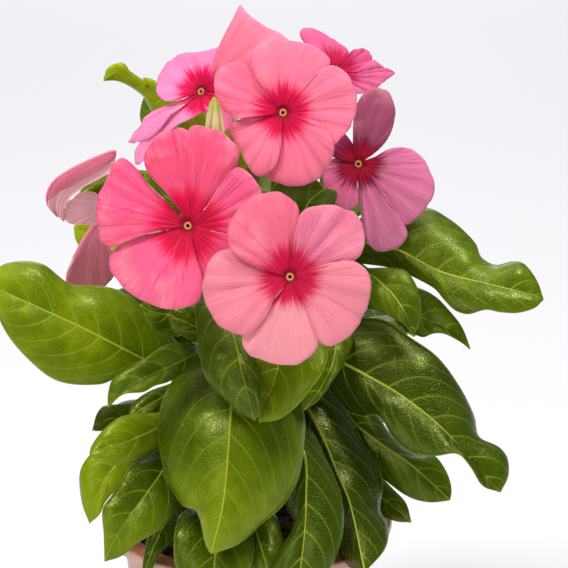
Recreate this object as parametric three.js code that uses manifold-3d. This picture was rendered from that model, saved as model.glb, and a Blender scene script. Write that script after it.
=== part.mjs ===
// Madagascar periwinkle (Catharanthus roseus) in a terracotta-coloured nursery pot.
// Millimetres, +Z up, +X to the right, +Y away from the viewer.
// The origin is the centre of the pot's flat base.
import * as THREE from "three";
import { mergeVertices } from "three/addons/utils/BufferGeometryUtils.js";
import Module from "manifold-3d";

const wasm = await Module();
wasm.setup();

// Pot
const POT_HEIGHT = 80;
const LIP_RADIUS = 45;
const LIP_HEIGHT = 3.4;
const LIP_OVERHANG = 5.5;
const BASE_RADIUS = 31.5;
const POT_WALL = 1.5;
const FLOOR = 2;
const DRAIN_HOLES = 6;
const DRAIN_RADIUS = 3.2;
const DRAIN_CIRCLE = 19;
// Soil
const SOIL_TOP = 71;
const SOIL_DOME = 2.5;
const STEM_HOLE_DEPTH = 12;
// Plant
const LEAF_THICKNESS = 0.8;
const PETAL_THICKNESS = 0.75;
const PETIOLE_HALF_WIDTH = 1.15;
const TUBE_LENGTH = 24;
const TUBE_RADIUS = 1.25;
const THROAT_RADIUS = 2.1;
const PEDICEL_RADIUS = 0.85;
const CUP = { height: 3, radius: 2.3, foot: 0.9, sepals: 5, sepal: 2, spread: 0.9 };
// The clearance that each separate piece keeps to the one that carries it
const GAP = 0.3;
// Steps of a leaf along and across, and of a petal outwards and across
const LEAF_STEPS = [7, 4];
const PETAL_STEPS = [3, 6];

// The viewpoint from which positions on the plant were measured: u and v count to the right and down
// on a square picture 568 wide, whose middle is MIDDLE, and the eye looks along +Y, tipped down by PITCH.
const EYE = new THREE.Vector3(11.25, -638.7, 375.3);
const PITCH = THREE.MathUtils.degToRad(19);
const FOCAL = 2240;
const MIDDLE = 284;

// The point seen at (u, v) on the upright plane Y = y.
function sight(u, v, y) {
  const across = (u - MIDDLE) / FOCAL;
  const up = (MIDDLE - v) / FOCAL;
  const ray = new THREE.Vector3(
    across,
    Math.cos(PITCH) + up * Math.sin(PITCH),
    -Math.sin(PITCH) + up * Math.cos(PITCH),
  );
  return EYE.clone().addScaledVector(ray, (y - EYE.y) / ray.y);
}

const vec = (p) => new THREE.Vector3(...p);

// A smooth curve through the points, sampled at count + 1 even steps of a parameter that grows with chord
// length
function spline(points, count) {
  const knots = [0];
  for (let i = 1; i < points.length; i++)
    knots.push(knots[i - 1] + Math.max(1e-6, points[i].distanceTo(points[i - 1])));
  const last = points.length - 1;
  const slope = (i) => {
    const a = Math.max(0, i - 1);
    const b = Math.min(last, i + 1);
    return points[b].clone().sub(points[a]).divideScalar(knots[b] - knots[a]);
  };
  const out = [];
  for (let n = 0; n <= count; n++) {
    const k = (n / count) * knots[last];
    let i = 0;
    while (i < last - 1 && knots[i + 1] < k) i++;
    const h = knots[i + 1] - knots[i];
    const t = (k - knots[i]) / h;
    out.push(
      points[i]
        .clone()
        .multiplyScalar(2 * t ** 3 - 3 * t ** 2 + 1)
        .addScaledVector(slope(i), h * (t ** 3 - 2 * t ** 2 + t))
        .addScaledVector(points[i + 1], -2 * t ** 3 + 3 * t ** 2)
        .addScaledVector(slope(i + 1), h * (t ** 3 - t ** 2)),
    );
  }
  return out;
}

// Solids
function solid(vertices, triangles) {
  const geometry = new THREE.BufferGeometry();
  const numbers = vertices.flatMap((p) => [p.x, p.y, p.z]);
  geometry.setAttribute("position", new THREE.Float32BufferAttribute(numbers, 3));
  geometry.setIndex(triangles);
  return solidOf(geometry);
}

function solidOf(geometry) {
  const bare = new THREE.BufferGeometry().setAttribute("position", geometry.getAttribute("position"));
  if (geometry.index) bare.setIndex(geometry.index);
  const merged = mergeVertices(bare, 1e-4);
  return new wasm.Manifold(
    new wasm.Mesh({
      numProp: 3,
      vertProperties: new Float32Array(merged.attributes.position.array),
      triVerts: new Uint32Array(merged.index.array),
    }),
  );
}

const join = (solids) => solids.reduce((all, s) => all.add(s));

function largest(body) {
  return body.decompose().reduce((a, b) => (b.volume() > a.volume() ? b : a));
}

// A thin blade of even thickness on a grid of points, split into triangles alike on both faces.
function blade(grid, thickness) {
  const rows = grid.length;
  const cols = grid[0].length;
  const at = (i, j) => grid[Math.min(rows - 1, Math.max(0, i))][Math.min(cols - 1, Math.max(0, j))];
  const top = [];
  const under = [];
  for (let i = 0; i < rows; i++)
    for (let j = 0; j < cols; j++) {
      const along = at(i + 1, j).clone().sub(at(i - 1, j));
      const across = at(i, j + 1).clone().sub(at(i, j - 1));
      const normal = across.cross(along).normalize();
      top.push(grid[i][j].clone().addScaledVector(normal, thickness / 2));
      under.push(grid[i][j].clone().addScaledVector(normal, -thickness / 2));
    }
  const n = rows * cols;
  const id = (i, j) => i * cols + j;
  const triangles = [];
  for (let i = 0; i < rows - 1; i++)
    for (let j = 0; j < cols - 1; j++) {
      const [a, b, c, d] = [id(i, j), id(i, j + 1), id(i + 1, j + 1), id(i + 1, j)];
      triangles.push(a, b, c, a, c, d);
      triangles.push(n + a, n + c, n + b, n + a, n + d, n + c);
    }
  const rim = [];
  for (let j = 0; j < cols - 1; j++) rim.push(id(0, j));
  for (let i = 0; i < rows - 1; i++) rim.push(id(i, cols - 1));
  for (let j = cols - 1; j > 0; j--) rim.push(id(rows - 1, j));
  for (let i = rows - 1; i > 0; i--) rim.push(id(i, 0));
  rim.forEach((p, k) => {
    const q = rim[(k + 1) % rim.length];
    triangles.push(p, n + p, n + q, p, n + q, q);
  });
  return solid([...top, ...under], triangles);
}

// A round rod along the points, whose radius runs through the given list, closed at both ends.
function rod(points, radii, sides, grow = 0) {
  const rings = points.length;
  const vertices = [];
  let side = new THREE.Vector3(1, 0.13, 0.07);
  const radius = (k) => {
    const x = (k / (rings - 1)) * (radii.length - 1);
    const i = Math.min(radii.length - 2, Math.floor(x));
    return radii[i] + (radii[i + 1] - radii[i]) * (x - i) + grow;
  };
  for (let k = 0; k < rings; k++) {
    const along = points[Math.min(rings - 1, k + 1)].clone().sub(points[Math.max(0, k - 1)]).normalize();
    side = side.addScaledVector(along, -side.dot(along)).normalize();
    const other = along.clone().cross(side);
    for (let m = 0; m < sides; m++) {
      const angle = (2 * Math.PI * m) / sides;
      vertices.push(
        points[k]
          .clone()
          .addScaledVector(side, radius(k) * Math.cos(angle))
          .addScaledVector(other, radius(k) * Math.sin(angle)),
      );
    }
  }
  const triangles = [];
  for (let k = 0; k < rings - 1; k++)
    for (let m = 0; m < sides; m++) {
      const n = (m + 1) % sides;
      const [a, b, c, d] = [k * sides + m, k * sides + n, (k + 1) * sides + n, (k + 1) * sides + m];
      triangles.push(a, b, c, a, c, d);
    }
  for (let m = 1; m < sides - 1; m++) {
    triangles.push(0, m + 1, m);
    const end = (rings - 1) * sides;
    triangles.push(end, end + m, end + m + 1);
  }
  return solid(vertices, triangles);
}

// Shoots: each runs through its points, and its radius tapers from the first to the second value.
const SHOOTS = {
  main: {
    through: [[0, 0, SOIL_TOP - STEM_HOLE_DEPTH], [1, -2, 100], [3, -5, 140], [5, -2, 172], [6, 3, 198]],
    radii: [3.2, 1.6],
  },
  front: { through: [[1.5, -3, 118], [4, -10, 140], [9, -18, 160]], radii: [2, 1.2] },
  left: { through: [[0, -1, 92], [-8, -5, 112], [-14, -9, 140], [-14, -12, 174]], radii: [2.5, 1.5] },
  right: { through: [[1, -2, 96], [11, 2, 116], [19, 8, 145], [23, 15, 182]], radii: [2.5, 1.5] },
  back: { through: [[0, 0, 88], [0, 10, 104], [-4, 20, 128], [-6, 25, 153]], radii: [2.5, 1.5] },
};
const SHOOT_STEPS = 8;
const SHOOT_SIDES = 7;
for (const shoot of Object.values(SHOOTS)) shoot.path = spline(shoot.through.map(vec), SHOOT_STEPS);

// The point on a shoot's axis at height z.
function onShoot(name, z) {
  const path = SHOOTS[name].path;
  let i = 0;
  while (i < path.length - 2 && path[i + 1].z < z) i++;
  return path[i].clone().lerp(path[i + 1], (z - path[i].z) / (path[i + 1].z - path[i].z));
}

// Leaves
// Each leaf grows from a shoot at height z. rib is its midrib as seen from the eye, (u, v) with the depth
// y, ending at its tip, and edges are its two margins, (u, v) from base to tip. depth is how far each
// margin lies behind the midrib half way along, in millimetres, and steps is how many rows of the blade
// lie along it.
const LEAVES = {
  // Front leaves, from the top down
  leaf_01: {
    shoot: "front", z: 138, depth: [3, 3],
    rib: [[236, 372, -28], [231, 410, -42], [228, 455, -51], [223, 505, -57], [211, 554, -60]],
    edges: [
      [[178, 375], [161, 405], [159, 440], [166, 476], [182, 505], [197, 512], [205, 542]],
      [[285, 372], [303, 410], [304, 441], [298, 478], [282, 506], [262, 523], [240, 543]],
    ],
  },
  leaf_02: {
    shoot: "front", z: 150, depth: [4, -3],
    rib: [[233, 320, -34], [239, 357, -46], [245, 382, -50], [252, 407, -53], [255, 420, -54]],
    edges: [
      [[200, 300], [197, 330], [200, 356], [208, 380], [222, 396], [240, 413]],
      [[247, 330], [254, 360], [259, 385], [261, 402], [259, 414]],
    ],
  },
  leaf_03: {
    shoot: "front", z: 152, depth: [2, -7],
    rib: [[282, 335, -34], [278, 369, -43], [271, 391, -46], [263, 407, -47], [260, 422, -48]],
    edges: [
      [[262, 330], [252, 352], [250, 378], [253, 402]],
      [[318, 335], [327, 352], [321, 370], [309, 388], [296, 405], [279, 419]],
    ],
  },
  leaf_04: {
    shoot: "right", z: 150, depth: [0, 0],
    rib: [[335, 330, -14], [332, 365, -26], [318, 392, -34], [304, 410, -37]],
    edges: [
      [[312, 335], [304, 362], [298, 385]],
      [[352, 335], [345, 360], [334, 378], [318, 400]],
    ],
  },
  leaf_05: {
    shoot: "left", z: 126, depth: [9, -8],
    rib: [[165, 371, -14], [143.7, 360, -17], [84, 329, -22], [28, 303, -24], [-14, 284, -25]],
    edges: [
      [[177, 342], [154, 320], [130, 295], [102, 286], [70, 284], [40, 263], [5, 264]],
      [[160, 380], [123, 375], [100, 384], [60, 381], [30, 360], [5, 330]],
    ],
  },
  leaf_06: {
    shoot: "left", z: 134, depth: [3, -3],
    rib: [
      [197, 353, -26], [177, 363, -36], [154, 374, -42], [133, 384, -45], [113, 399, -47],
      [108.5, 407, -48],
    ],
    edges: [
      [[197, 343], [185, 343], [164, 346], [140, 362], [114, 378], [108.5, 394]],
      [[205, 365], [183, 374], [169, 380], [154, 384], [144, 390], [123, 394]],
    ],
  },
  leaf_07: {
    shoot: "left", z: 116, steps: 5, depth: [2, -2],
    rib: [[178, 390, -17], [158, 400, -23], [142, 409, -26], [129, 418, -28]],
    edges: [
      [[186, 382], [162, 387], [143, 395], [131, 406]],
      [[185, 395], [170, 405], [158, 411], [150, 418], [139, 421]],
    ],
  },
  leaf_08: {
    shoot: "left", z: 114, steps: 5, depth: [4, -4],
    rib: [[150, 420, -8], [125, 419, -12], [107, 420, -15], [93, 430, -16]],
    edges: [
      [[160, 405], [137, 404], [106, 405], [97, 414]],
      [[150, 435], [125, 430], [108, 430], [96, 431]],
    ],
  },
  leaf_09: {
    shoot: "main", z: 116, depth: [3, -3],
    rib: [
      [172, 426, -28], [157, 429, -34], [144, 434.6, -38], [123, 443, -41], [98, 450, -43],
      [89.5, 456, -44],
    ],
    edges: [
      [[175, 412], [150, 413], [129, 415], [116, 420], [102, 432], [92, 446]],
      [[175, 440], [158, 447], [144, 455], [133, 462], [118, 465], [102, 463]],
    ],
  },
  leaf_10: {
    shoot: "left", z: 108, depth: [2, -2],
    rib: [[140, 448, -24], [117.5, 464, -29], [108, 476, -31], [97.7, 495, -33], [90, 523, -34]],
    edges: [
      [[118, 440], [100, 446], [88, 458], [81, 470], [80, 487], [83, 506]],
      [[150, 470], [130, 480], [115, 490], [104, 503], [99.7, 514]],
    ],
  },
  leaf_11: {
    shoot: "main", z: 112, depth: [2, -2],
    rib: [
      [175, 455, -30], [164, 469, -38], [144, 497, -46], [127, 520, -50], [114, 541, -52], [105, 561, -53],
    ],
    edges: [
      [[165, 442], [144, 457], [131, 467], [112, 496], [103, 509], [104, 533]],
      [[190, 465], [180, 490], [175, 510], [160, 529], [140, 541], [121, 556]],
    ],
  },
  leaf_12: {
    shoot: "main", z: 102, depth: [1, -1],
    rib: [[182, 495, -23], [167, 522, -31], [158, 537, -35], [148, 564, -39], [143, 582, -41]],
    edges: [
      [[172, 495], [160, 520], [147, 539], [143, 562]],
      [[197, 500], [190, 520], [174, 539], [160, 552], [150, 572]],
    ],
  },
  leaf_13: {
    shoot: "main", z: 106, depth: [2, 2],
    rib: [[218, 500, -32], [216, 530, -44], [215, 557, -51], [213, 580, -55], [210, 603, -57]],
    edges: [
      [[196, 500], [184, 510], [177, 522], [174, 541], [176, 565], [190, 590]],
      [[240, 505], [252, 530], [252, 560], [238, 588]],
    ],
  },
  leaf_14: {
    shoot: "main", z: 100, depth: [1, 1],
    rib: [[250, 500, -26], [256, 530, -38], [262, 550, -44], [267, 568, -47], [275, 592, -50]],
    edges: [
      [[240, 510], [240, 540], [246, 562], [260, 585]],
      [[268, 505], [276, 517], [281, 540], [281, 560], [280, 580]],
    ],
  },
  leaf_15: {
    shoot: "main", z: 132, depth: [2, 2],
    rib: [
      [295, 385, -8], [310, 412, -15], [325, 442, -21], [337, 472, -26], [350, 504, -34], [365, 572, -49],
    ],
    edges: [
      [[325, 385], [347, 411], [364, 445], [377, 463], [382, 485], [379, 509], [387, 525], [385, 548]],
      [[285, 410], [300, 445], [312, 475], [325, 510], [335, 545], [350, 568]],
    ],
  },
  leaf_16: {
    shoot: "main", z: 124, depth: [1, 1],
    rib: [
      [290, 430, -28], [305, 457, -36], [306, 502, -43], [304, 539, -48], [300, 570, -51], [297, 598, -53],
    ],
    edges: [
      [[275, 450], [280, 480], [287, 508], [294, 520], [290, 534], [280, 550], [272, 570], [280, 588]],
      [[310, 430], [323, 455], [334, 480], [342, 507], [343, 528], [339, 547], [329, 570], [313, 590]],
    ],
  },
  leaf_17: {
    shoot: "right", z: 130, depth: [8, -6],
    rib: [
      [320, 352, -8], [343, 363, -14], [394, 391.6, -22], [424, 413, -26], [448, 435, -29],
      [478, 470, -32], [500, 492, -33],
    ],
    edges: [
      [
        [335, 325], [364, 318.6], [388, 322], [410, 338], [437, 356], [460, 385], [476, 415], [481, 435],
        [500, 446], [508, 458], [508, 476],
      ],
      [
        [318, 368], [331, 390], [347, 410], [362, 415], [379, 414], [394, 437], [411, 452], [434, 456],
        [458, 453.5], [471, 467], [483, 486],
      ],
    ],
  },
  leaf_18: {
    shoot: "right", z: 160, depth: [8, -6],
    rib: [
      [350, 243, 6], [394, 249, 0], [439, 271.6, -6], [486, 284, -9], [528, 294, -10], [543, 299.5, -10],
    ],
    edges: [
      [
        [350, 225], [390, 205], [429, 208], [449, 218.5], [463, 229.5], [476, 244], [481, 256.7],
        [495.5, 265], [512, 262], [522, 263], [531, 272], [538, 284],
      ],
      [
        [350, 262], [385, 266], [406, 273], [419, 279], [436, 289], [444, 299], [455, 310], [468, 314],
        [486, 309], [500, 311], [518, 312], [535, 307.5],
      ],
    ],
  },
  leaf_19: {
    shoot: "right", z: 152, depth: [2, -3],
    rib: [
      [345, 268, 0], [372, 276, -8], [382, 284, -12], [394, 296, -15], [406, 316, -18], [412.6, 336, -19],
    ],
    edges: [
      [[355, 262], [370, 269], [387, 268], [404, 270], [414, 281.5], [420, 299], [420, 321]],
      [[350, 292], [371, 306], [387, 314], [404, 324]],
    ],
  },
  leaf_20: {
    shoot: "right", z: 146, depth: [3, -2],
    rib: [
      [385, 296, 0], [410, 306, -5], [424, 318.6, -7], [443, 326, -9], [458, 336, -10], [470, 349, -11],
    ],
    edges: [
      [[390, 282], [416, 288], [434, 296], [448.5, 310], [461, 326]],
      [[385, 312], [405, 330], [417, 335], [424, 337], [434, 333], [444, 333], [458, 340]],
    ],
  },
  leaf_21: {
    shoot: "right", z: 118, depth: [2, -2],
    rib: [[345, 415, -4], [359, 427.5, -8], [385, 447, -12], [411, 464.7, -15], [450, 500, -18]],
    edges: [
      [[350, 400], [375, 415], [394, 438], [414, 453], [434, 456], [446, 472], [451, 488]],
      [[335, 430], [355, 455], [385, 480], [410, 497], [430, 502]],
    ],
  },
  leaf_22: {
    shoot: "right", z: 106, steps: 5, depth: [1, -1],
    rib: [[360, 480, -2], [385, 500, -6], [400, 512, -8], [411, 522, -8]],
    edges: [
      [[375, 475], [395, 492], [406, 504]],
      [[365, 500], [380, 514], [396, 521]],
    ],
  },
  leaf_23: {
    shoot: "left", z: 148, steps: 5, depth: [2, -2],
    rib: [[185, 318, -20], [170, 315, -23], [152, 312, -25], [140, 305, -26]],
    edges: [
      [[185, 300], [165, 300], [150, 300]],
      [[180, 336], [160, 333], [148, 322]],
    ],
  },
  leaf_24: {
    shoot: "left", z: 144, steps: 5, depth: [2, -2],
    rib: [[200, 330, -26], [185, 322, -30], [168, 315, -31]],
    edges: [
      [[200, 312], [185, 306], [172, 307]],
      [[200, 342], [187, 336], [174, 330]],
    ],
  },
  leaf_25: {
    shoot: "main", z: 178, steps: 5, depth: [1, 1],
    rib: [[300, 215, -14], [310, 200, -18], [325, 188, -20]],
    edges: [
      [[276, 210], [272, 190], [290, 178], [310, 176]],
      [[322, 220], [334, 205], [336, 192]],
    ],
  },
  leaf_26: {
    shoot: "main", z: 166, steps: 5, depth: [1, 1],
    rib: [[268, 200, 10], [258, 180, 12], [244, 160, 12]],
    edges: [
      [[245, 200], [236, 180], [234, 165]],
      [[280, 196], [274, 178], [258, 158]],
    ],
  },
  leaf_27: {
    shoot: "main", z: 180, depth: [1, 1],
    rib: [
      [215, 150, 14], [200, 125, 16], [170, 106, 16], [150, 90, 16], [133, 79, 15], [116, 72, 14],
      [103.5, 80.5, 13],
    ],
    edges: [
      [
        [225, 125], [205, 108], [180, 100], [166, 94], [159.5, 84], [148, 78], [133, 78], [126, 66],
        [121, 63], [108, 68],
      ],
      [[205, 160], [190, 140], [170, 125], [152, 112], [144, 97], [133, 88], [119, 81], [110, 80]],
    ],
  },
  leaf_28: {
    shoot: "main", z: 174, steps: 5, depth: [1, 1],
    rib: [[205, 160, 24], [190, 140, 26], [165, 122, 27], [152, 112, 27], [146, 92, 27]],
    edges: [
      [[195, 165], [180, 145], [155, 130], [142, 123], [141, 108]],
      [[213, 150], [195, 120], [170, 108], [158, 100], [150, 92]],
    ],
  },
  leaf_29: {
    shoot: "back", z: 148, steps: 5, depth: [2, -2],
    rib: [[140, 245, 30], [105, 240, 32], [74, 227, 32]],
    edges: [
      [[130, 215], [100, 212], [80, 218]],
      [[130, 255], [105, 258], [85, 252], [76, 240]],
    ],
  },
  leaf_30: {
    shoot: "left", z: 158, steps: 5, depth: [1, -1],
    rib: [[185, 215, -6], [165, 195, -3], [145, 175, 0]],
    edges: [
      [[170, 225], [145, 210], [135, 190]],
      [[200, 200], [185, 180], [165, 170]],
    ],
  },
};

// The grid of points of a blade between its midrib and margins. arch is how far each half rises between
// them, as a share of its width, and wave is the margin's ripple: its height, its count along the blade
// and its start.
function bladeGrid(rib, edges, arch, wave, along = LEAF_STEPS[0]) {
  const across = LEAF_STEPS[1];
  const centre = spline(rib, along);
  const sides = edges.map((edge) => spline(edge, along));
  const grid = [];
  for (let i = 0; i <= along; i++) {
    const s = i / along;
    const forward = centre[Math.min(along, i + 1)].clone().sub(centre[Math.max(0, i - 1)]).normalize();
    const inner = Math.min(along - 1, Math.max(1, i));
    const span = sides[1][inner].clone().sub(sides[0][inner]);
    span.addScaledVector(forward, -span.dot(forward)).normalize();
    const normal = span.clone().cross(forward);
    const least = PETIOLE_HALF_WIDTH * (s < 0.9 ? 1 : 0.5);
    const open = THREE.MathUtils.smoothstep(s, 0, 0.2);
    const row = [];
    for (let j = 0; j <= across; j++) {
      const t = (2 * j) / across - 1;
      const reach = sides[t < 0 ? 0 : 1][i].clone().sub(centre[i]).multiplyScalar(open);
      const side = Math.sign(t || 1);
      if (reach.dot(span) * side < least) reach.copy(span).multiplyScalar(least * side);
      const a = Math.abs(t);
      const rise = arch * reach.length() * Math.sin(Math.PI * a);
      const ripple = wave[0] * Math.sin(2 * Math.PI * (wave[1] * s + wave[2] + 0.2 * Math.sign(t)));
      const point = centre[i].clone().addScaledVector(reach, a);
      row.push(point.addScaledVector(normal, rise + ripple * a * a * Math.sin(Math.PI * s)));
    }
    grid.push(row);
  }
  return grid;
}

const SEEN_ARCH = 0.1;
const SEEN_WAVE = [0.6, 1.5, 0];

// A leaf whose outline was measured from the eye. Its upper side is the one that faces the eye.
function seenLeaf(leaf) {
  const base = onShoot(leaf.shoot, leaf.z);
  const rib = [base, ...leaf.rib.map((p) => sight(...p))];
  const tip = rib[rib.length - 1];
  const depths = leaf.rib.map((p) => p[2]);
  const depthAt = (x) => {
    const k = x * depths.length - 1;
    if (k <= 0) return base.y + (depths[0] - base.y) * x * depths.length;
    const i = Math.min(depths.length - 2, Math.floor(k));
    return depths[i] + (depths[i + 1] - depths[i]) * (k - i);
  };
  let edges = leaf.edges.map((edge, side) => [
    base,
    ...edge.map(([u, v], k) => {
      const x = Math.min(1, (k + 1.2) / (edge.length + 1));
      const behind = leaf.depth[side] * Math.sin(Math.PI * Math.min(0.95, x)) ** 0.5;
      return sight(u, v, depthAt(x) + behind);
    }),
    tip,
  ]);
  const middle = edges[0].length >> 1;
  const span = edges[1][Math.min(middle, edges[1].length - 1)].clone().sub(edges[0][middle]);
  const forward = tip.clone().sub(base);
  const facing = span.cross(forward).dot(EYE.clone().sub(tip));
  if (facing < 0) edges = edges.reverse();
  return bladeGrid(rib, edges, SEEN_ARCH, SEEN_WAVE, leaf.steps);
}

// Leaves on the far side and deep inside, which the eye does not see whole: rib in millimetres from base
// to tip, half is half of the width, up is the way that the upper side faces.
const FAR_LEAVES = {
  leaf_31: {
    shoot: "back", z: 120, half: 15, up: [0, 0.3, 1],
    rib: [[4, 40, 130], [10, 62, 128], [14, 78, 116]],
  },
  leaf_32: {
    shoot: "back", z: 122, half: 15, up: [-0.2, 0.2, 1],
    rib: [[-20, 28, 132], [-42, 40, 130], [-58, 48, 118]],
  },
  leaf_33: {
    shoot: "left", z: 154, half: 8, up: [0, -1, 0.3],
    rib: [[-19, 4, 172], [-30, 15, 178], [-45, 8, 180.5], [-54, 3.5, 175.5]],
  },
  leaf_34: {
    shoot: "back", z: 148, half: 13, up: [0.2, 0.2, 1],
    rib: [[8, 38, 158], [22, 48, 158], [34, 56, 150]],
  },
  leaf_35: {
    shoot: "right", z: 124, half: 15, up: [0.2, 0.2, 1],
    rib: [[30, 22, 132], [44, 38, 131], [54, 50, 120]],
  },
  leaf_36: {
    shoot: "main", z: 96, half: 15, up: [0.2, 0.4, 1],
    rib: [[14, 13, 105], [32, 34, 102], [44, 48, 90]],
  },
  leaf_37: {
    shoot: "main", z: 98, half: 15, up: [-0.2, 0.4, 1],
    rib: [[-14, 12, 106], [-33, 32, 103], [-46, 46, 91]],
  },
  leaf_38: {
    shoot: "main", z: 158, half: 12, up: [0, 0.3, 1],
    rib: [[4, 12, 168], [4, 30, 172], [4, 48, 163]],
  },
  leaf_39: {
    shoot: "right", z: 164, half: 11, up: [0, 0.3, 1],
    rib: [[28, 25, 172], [39, 38, 172], [49, 48, 161]],
  },
  leaf_40: {
    shoot: "left", z: 138, half: 12, up: [-0.1, 0.3, 1],
    rib: [[-20, 3, 145], [-31, 19, 146], [-40, 34, 136]],
  },
};

const FAR_OUTLINE_STEPS = 8;
const FAR_ARCH = 0.14;
const FAR_WAVE = [1.2, 1.6];

// A leaf of the plant's usual outline, broadest a little past its middle.
function plainLeaf(leaf) {
  const rib = [onShoot(leaf.shoot, leaf.z), ...leaf.rib.map(vec)];
  const steps = FAR_OUTLINE_STEPS;
  const centre = spline(rib, steps);
  const edges = [[], []];
  for (let i = 0; i <= steps; i++) {
    const s = i / steps;
    const forward = centre[Math.min(steps, i + 1)].clone().sub(centre[Math.max(0, i - 1)]).normalize();
    const right = forward.clone().cross(vec(leaf.up)).normalize();
    const half = leaf.half * 1.02 * Math.sin(Math.PI * s ** 1.05) ** 0.8;
    edges[0].push(centre[i].clone().addScaledVector(right, -half));
    edges[1].push(centre[i].clone().addScaledVector(right, half));
  }
  return bladeGrid(rib, edges, FAR_ARCH, [...FAR_WAVE, leaf.half * 0.37]);
}

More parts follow.
